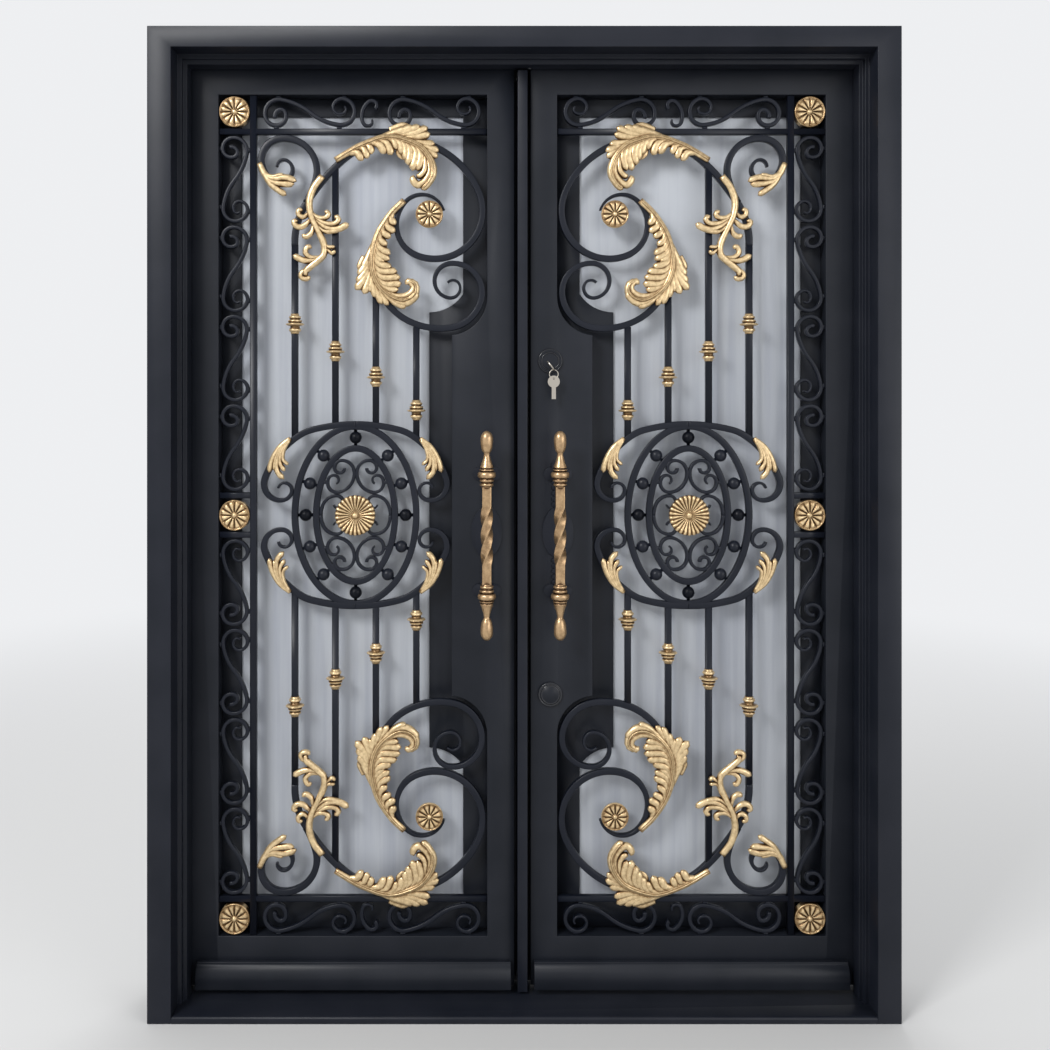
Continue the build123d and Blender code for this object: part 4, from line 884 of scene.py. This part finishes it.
CORNER_CURLS = (
    ([(-142.0, 168.5), (-165.0, 149.0), (-181.0, 121.0), (-188.5, 93.5)], 13.0),
    ([(-143.0, 167.5), (-163.0, 147.0), (-174.5, 121.0), (-176.5, 97.0)], 12.0),
    ([(-143.0, 166.5), (-161.0, 146.0), (-170.5, 120.0), (-170.0, 96.0), (-155.5, 79.0)], 13.0),
    ([(-144.0, 164.5), (-159.0, 142.0), (-164.5, 116.0), (-153.5, 96.0)], 12.0),
    ([(-145.0, 162.5), (-156.0, 142.0), (-158.0, 122.0), (-145.5, 110.0)], 9.0),
)


def acanthus_leaves():
    """Two leaves with fans, one sprig and one bud on the scrolls, and curls at the medallion's corners."""
    upper = Shape()
    for spine, fans in ((SPINE_1, FANS_1), (SPINE_2, FANS_2)):
        for reach, tips, width, rise in fans:
            fan(upper, spine, reach, tips, width, rise)
        finger(upper, spine, 17.0, 9.5, root=0.8, count=40)
        finger(upper, spine, 6.0, 12.0, root=0.8, count=40)
    for knots, width in END_CURLS_1 + END_CURLS_2:
        finger(upper, knots, width, 9.5, root=0.7, count=24)
    finger(upper, SPINE_3, 15.0, 9.5, root=1.0, count=36)
    for knots, width in CURLS_3:
        finger(upper, knots, 1.2 * width, 8.0, root=0.7, count=20)
    for knots, width in CURLS_4:
        finger(upper, knots, 1.15 * width, 8.0, root=0.75)
    corner = Shape()
    for knots, width in CORNER_CURLS:
        finger(corner, knots, width, 8.0, root=0.7)
    shape = both_halves(upper)
    shape.merge(four_quarters(corner), u=PANEL_CENTRE)
    return shape


# Handles; a drop counts down from the handle's upper end, or up from its lower one

HANDLE_X = 78.0
HANDLE_HEIGHT = 1013.5
HANDLE_V = HANDLE_HEIGHT - LEAF_CENTRE_Z / MM
HANDLE_W = -60.0
HANDLE_HALF = 223.0
SHAFT_SIDE = 20.0
SHAFT_EASE = 2.2
SHAFT_FLUTE = 1.7
SHAFT_DROP = 119.0
TWIST_HALF = 62.0
TWIST_TURN = 270.0
TWIST_STEPS = 72
FINIAL_RADIUS = 13.4
FINIAL_WIDEST = 18.0
FINIAL_FOOT = 47.0
FINIAL_DROPS = (0, 0.6, 2, 4, 7, 11, 14, 18, 23, 28, 33, 37, 40, 43, 45, 46.4)
NECK_RADIUS = 5.6
CONE_DROP = 46.0
CONE_LENGTH = 30.0
CONE_SPREAD = 8.0
CONE_STEPS = 7

# Radius and drop
SHOULDER = ((14.2, 77.5), (13.8, 79.0), (11.5, 80.2))
SOCKET = ((11.5, 118.0), (11.5, 121.0), (0.0, 121.0))

# Drops where each ring begins and ends, its radius and its bulge
HANDLE_RINGS = (
    (81.0, 86.0, 13.0, 2.4),
    (86.5, 101.0, 14.0, 5.6),
    (101.0, 109.0, 12.4, 3.0),
    (111.0, 117.5, 11.8, 2.6),
)


def finial_radius(drop):
    """Egg-shaped finial: round at the top and drawn in to its neck."""
    if drop < FINIAL_WIDEST:
        return FINIAL_RADIUS * hump(drop, FINIAL_WIDEST, FINIAL_WIDEST)
    narrowing = hump(drop, FINIAL_WIDEST, FINIAL_FOOT - FINIAL_WIDEST)
    return NECK_RADIUS + (FINIAL_RADIUS - NECK_RADIUS) * narrowing


def handle_end(shape):
    """Finial, cone, shoulder, rings and socket, turned about the handle's axis."""
    outline = [(finial_radius(drop), HANDLE_HALF - drop) for drop in FINIAL_DROPS]
    for number in range(1, CONE_STEPS + 1):
        share = number / CONE_STEPS
        radius = NECK_RADIUS + CONE_SPREAD * share ** 1.4
        outline.append((radius, HANDLE_HALF - CONE_DROP - CONE_LENGTH * share))
    outline += [(radius, HANDLE_HALF - drop) for radius, drop in SHOULDER]
    for first, last, radius, bulge in HANDLE_RINGS:
        outline += reversed(half_round(radius, bulge, HANDLE_HALF - last, HANDLE_HALF - first, 10))
    outline += [(radius, HANDLE_HALF - drop) for radius, drop in SOCKET]
    turned_about_v(shape, (0.0, 0.0, 0.0), list(reversed(outline)), 48)


def handle_shaft(shape):
    """Square shaft with hollowed faces, plain at its ends and twisted between them."""
    reach = HANDLE_HALF - SHAFT_DROP
    half = SHAFT_SIDE / 2
    flat = half - SHAFT_EASE
    rounded = half - SHAFT_EASE * 0.3
    corner = [(half - SHAFT_FLUTE, 0.0), (half, flat), (rounded, rounded), (flat, half)]
    section = []
    for quarter in range(4):
        c, s = cos(pi / 2 * quarter), sin(pi / 2 * quarter)
        section += [(c * x - s * y, s * x + c * y) for x, y in corner]
    twisted = [-TWIST_HALF + 2 * TWIST_HALF * n / TWIST_STEPS for n in range(TWIST_STEPS + 1)]
    rows = []
    for v in (-reach, *twisted, reach):
        share = min(1.0, max(0.0, (v + TWIST_HALF) / (2 * TWIST_HALF)))
        angle = radians(TWIST_TURN * share)
        c, s = cos(angle), sin(angle)
        rows.append([(x * c - y * s, v, x * s + y * c) for x, y in section])
    shape.skin(rows, tube=True, flipped=True)


def pull_handle():
    end = Shape()
    handle_end(end)
    whole = Shape()
    whole.merge(end)
    whole.merge(end, flip_v=True)
    handle_shaft(whole)
    return whole


# Rings on the two lock roses, as pairs of radius and w

LOCK_X = 61.0
CYLINDER_RINGS = (
    (27.0, 0.0), (27.0, -3.4), (26.2, -5.0), (25.0, -5.6), (23.9, -5.2), (23.2, -4.2),
    (20.6, -4.2), (19.8, -5.4), (18.8, -5.8), (17.8, -5.4), (17.0, -4.0),
)
LOWER_RINGS = (
    (26.8, 0.0), (26.8, -3.0), (26.0, -4.6), (24.8, -5.2), (23.6, -4.8), (22.6, -4.2),
    (21.6, -5.2), (20.6, -7.0), (19.4, -7.8), (18.2, -7.6), (17.0, -6.8),
)
LOCK_RINGS = (("cylinder_rings", 1387.0, CYLINDER_RINGS), ("lower_rings", 660.0, LOWER_RINGS))


def lock_rings():
    for name, height, outline in LOCK_RINGS:
        rings = Shape()
        turned_about_w(rings, (MEETING_U - LOCK_X, height - LEAF_CENTRE_Z / MM), outline)
        rose = rings.place(name, "right", "leaf_paint")
        rose.data.materials[0] = ROSE_ENAMEL


# Rubber lip behind the meeting cover

SEAL_STEM = 8.2
SEAL_REACH = 20.2
SEAL_FRONT = 38.0
SEAL_BACK = 43.0
SEAL_EASE = 1.0
SEAL_TOUCH = 0.1
SEAL_BEVEL = 2.6
SEAL_LAP = 8.0
COVER_STEM = 10.9


def leaf_v(height):
    """A height above the floor in metres, as a place on the leaf."""
    return (height - LEAF_CENTRE_Z) / MM


def block(shape, low, high):
    points = [(u, v, w) for w in (low[2], high[2]) for u, v in (
        (low[0], low[1]), (high[0], low[1]), (high[0], high[1]), (low[0], high[1]))]
    sides = [(index, 4 + index, 4 + (index + 1) % 4, (index + 1) % 4) for index in range(4)]
    shape.add(points, [(0, 1, 2, 3), (7, 6, 5, 4), *sides])


def meeting_seal():
    """Lip along the right leaf, and dark plugs above, below and behind the ends of the cover; the plugs are
    painted shade, filling the gap so that no light from behind shows through it.
    """
    leaf_low, leaf_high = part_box("lock_stile_left")
    stile_u = (leaf_high[0] - LEAF_CENTRE_X) / MM - SEAL_BEVEL
    stem_u = MEETING_U + SEAL_STEM
    foot = leaf_v(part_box("sill")[1][2]) + SEAL_EASE
    cover_v = leaf_v(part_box("astragal")[1][2])
    top = leaf_v(leaf_high[2])
    blocks = (
        ((stem_u, foot), (MEETING_U + SEAL_REACH, top)),
        ((stile_u, cover_v + SEAL_TOUCH), (stem_u, top)),
        ((stile_u, foot), (stem_u, leaf_v(leaf_low[2]))),
        ((stile_u, cover_v - SEAL_LAP), (MEETING_U - COVER_STEM, cover_v + SEAL_EASE)),
    )
    # The dark plugs in the gap above, below and behind the cover's ends stand in for the shade there
    shape = Shape()
    for low, high in blocks:
        block(shape, (*low, SEAL_FRONT), (*high, SEAL_BACK))
    shape.place("meeting_seal", "left", "gasket")


# Build

surround = ["frame_head", "frame_jamb_left", "frame_jamb_right"]
welded("door_frame", surround, "frame", "frame_paint", ease=0.0014)
welded("threshold", ["sill"], "frame", "frame_paint", ease=0.001)
welded("meeting_cover", ["astragal"], "left_leaf", "frame_paint", ease=0.0016)
for side in SIDES:
    body = f"{side}_leaf"
    members = [f"{name}_{side}" for name in ("hinge_stile", "lock_stile", "top_rail", "bottom_rail")]
    welded(f"leaf_frame_{side}", members, body, "leaf_paint", ease=0.0014)
    welded(f"leaf_drip_{side}", [f"drip_moulding_{side}"], body, "leaf_paint", ease=0.0010)
    welded(f"window_sash_{side}", [f"glass_sash_{side}"], body, "leaf_paint", ease=0.0012)
    welded(f"handle_back_{side}", [f"handle_plate_{side}"], body, "ironwork", ease=0.0012)

meeting_seal()

# Piece, its shape, its slot and the solid it stands for, on both leaves
PIECES = (
    ("scroll_bars", scroll_grille(), "ironwork", "scroll_grille"),
    ("oval_medallion", medallion(), "ironwork", "medallion"),
    ("forged_balls", medallion_balls(), "ironwork", "medallion_balls"),
    ("framing_bars", border_bars(), "ironwork", "border_bars"),
    ("border_straps", border_scrolls(), "ironwork", "border_scrolls"),
    ("edge_rosettes", border_rosettes(), "antique_gold", "border_rosettes"),
    ("panel_flowers", panel_rosettes(), "antique_gold", "panel_rosettes"),
    ("turned_collars", bar_collars(), "antique_gold", "bar_collars"),
    ("carved_leaves", acanthus_leaves(), "antique_gold", "acanthus_leaves"),
)
for name, shape, slot, node in PIECES:
    for side in SIDES:
        shape.place(f"{name}_{side}", side, slot, [f"{node}_{side}"])

handle = pull_handle()
for side, sign in SIDES.items():
    placed = Shape()
    placed.merge(handle, u=sign * (MEETING_U - HANDLE_X), v=HANDLE_V, w=HANDLE_W)
    placed.place(f"twisted_handle_{side}", side, "brushed_gold", [f"pull_handle_{side}"], mirrored=False)

lock_rings()

for record in frame["record"]["subparts"]:
    paint(frame["nodes"][record["node"]], record["material_slot"])


# Camera, floor and light

CAMERA_PLACE = (-0.103, -2.2825, 1.302)
FOCAL_LENGTH = 36.17
CAMERA_SHIFT = (0.0476, -0.119)
BACKDROP_COLOUR = (0.93, 0.94, 0.96, 1.0)
BACKDROP_STRENGTH = 0.92
LIGHT_STRENGTH = 0.80
FLOOR_HALF = 14.0
FLOOR_COLOUR = (0.60, 0.60, 0.596, 1.0)
FLOOR_FADE = (1.3, 5.0)

# Lamps: place, size, power and the point each one faces
LAMPS = (
    ("key", (-2.4, -3.0, 3.6), (1.3, 1.3), 130.0, (0.0, 0.0, 1.1)),
    ("fill", (3.0, -3.0, 2.0), (2.4, 2.4), 40.0, (0.0, 0.0, 1.0)),
    ("back", (0.5, 3.2, 2.8), (2.4, 2.4), 60.0, (0.0, 0.0, 1.0)),
)


def add_camera():
    data = bpy.data.cameras.new("camera")
    data.sensor_width = 36.0
    data.lens = FOCAL_LENGTH
    data.shift_x, data.shift_y = CAMERA_SHIFT
    camera = bpy.data.objects.new("camera", data)
    camera.location = CAMERA_PLACE
    camera.rotation_euler = (radians(90), 0.0, 0.0)
    bpy.context.scene.collection.objects.link(camera)
    bpy.context.scene.camera = camera


def add_area(name, place, size, energy, target):
    data = bpy.data.lights.new(name, "AREA")
    data.shape = "RECTANGLE"
    data.size, data.size_y = size
    data.energy = energy
    lamp = bpy.data.objects.new(name, data)
    lamp.location = place
    direction = Vector(target) - Vector(place)
    lamp.rotation_euler = direction.to_track_quat("-Z", "Y").to_euler()
    bpy.context.scene.collection.objects.link(lamp)


def seen_directly(nodes, links):
    """One for camera, glossy and transmission rays, zero for the light that surfaces gather."""
    path = nodes.new("ShaderNodeLightPath")
    seen = path.outputs["Is Camera Ray"]
    for name in ("Is Glossy Ray", "Is Transmission Ray"):
        either = nodes.new("ShaderNodeMath")
        either.operation = "MAXIMUM"
        links.new(seen, either.inputs[0])
        links.new(path.outputs[name], either.inputs[1])
        seen = either.outputs[0]
    return seen


def floor_material():
    """Pale floor that takes the shadow nearby and fades into the backdrop further away."""
    material, shader, nodes, links = new_material("floor")
    shader.inputs["Roughness"].default_value = 0.9
    shader.inputs["Specular IOR Level"].default_value = 0.0
    place = nodes.new("ShaderNodeNewGeometry")
    distance = nodes.new("ShaderNodeVectorMath")
    distance.operation = "LENGTH"
    links.new(place.outputs["Position"], distance.inputs[0])
    fade = nodes.new("ShaderNodeMapRange")
    fade.interpolation_type = "SMOOTHSTEP"
    fade.inputs["From Min"].default_value, fade.inputs["From Max"].default_value = FLOOR_FADE
    links.new(distance.outputs["Value"], fade.inputs["Value"])
    share = nodes.new("ShaderNodeMath")
    share.operation = "MULTIPLY"
    links.new(fade.outputs[0], share.inputs[0])
    links.new(seen_directly(nodes, links), share.inputs[1])
    colour = nodes.new("ShaderNodeMix")
    colour.data_type = "RGBA"
    colour.inputs[6].default_value = FLOOR_COLOUR
    colour.inputs[7].default_value = (0.0, 0.0, 0.0, 1.0)
    links.new(share.outputs[0], colour.inputs["Factor"])
    links.new(colour.outputs[2], shader.inputs["Base Color"])
    glow = nodes.new("ShaderNodeMath")
    glow.operation = "MULTIPLY"
    glow.inputs[1].default_value = BACKDROP_STRENGTH
    links.new(share.outputs[0], glow.inputs[0])
    shader.inputs["Emission Color"].default_value = BACKDROP_COLOUR
    links.new(glow.outputs[0], shader.inputs["Emission Strength"])
    return material


def add_floor():
    half = FLOOR_HALF
    corners = [(-half, -half, 0), (half, -half, 0), (half, half, 0), (-half, half, 0)]
    floor = make_object("floor", corners, [(0, 1, 2, 3)], False)
    floor.data.materials.append(floor_material())


def add_world():
    """A pale backdrop where it is seen, a slightly weaker one as light."""
    world = bpy.data.worlds.new("studio")
    world.use_nodes = True
    nodes = world.node_tree.nodes
    links = world.node_tree.links
    nodes["Background"].inputs["Color"].default_value = BACKDROP_COLOUR
    strength = nodes.new("ShaderNodeMapRange")
    strength.inputs["To Min"].default_value = LIGHT_STRENGTH
    strength.inputs["To Max"].default_value = BACKDROP_STRENGTH
    links.new(seen_directly(nodes, links), strength.inputs["Value"])
    links.new(strength.outputs[0], nodes["Background"].inputs["Strength"])
    bpy.context.scene.world = world


add_camera()
add_floor()
add_world()
for lamp in LAMPS:
    add_area(*lamp)

bpy.context.scene.view_settings.view_transform = "Standard"
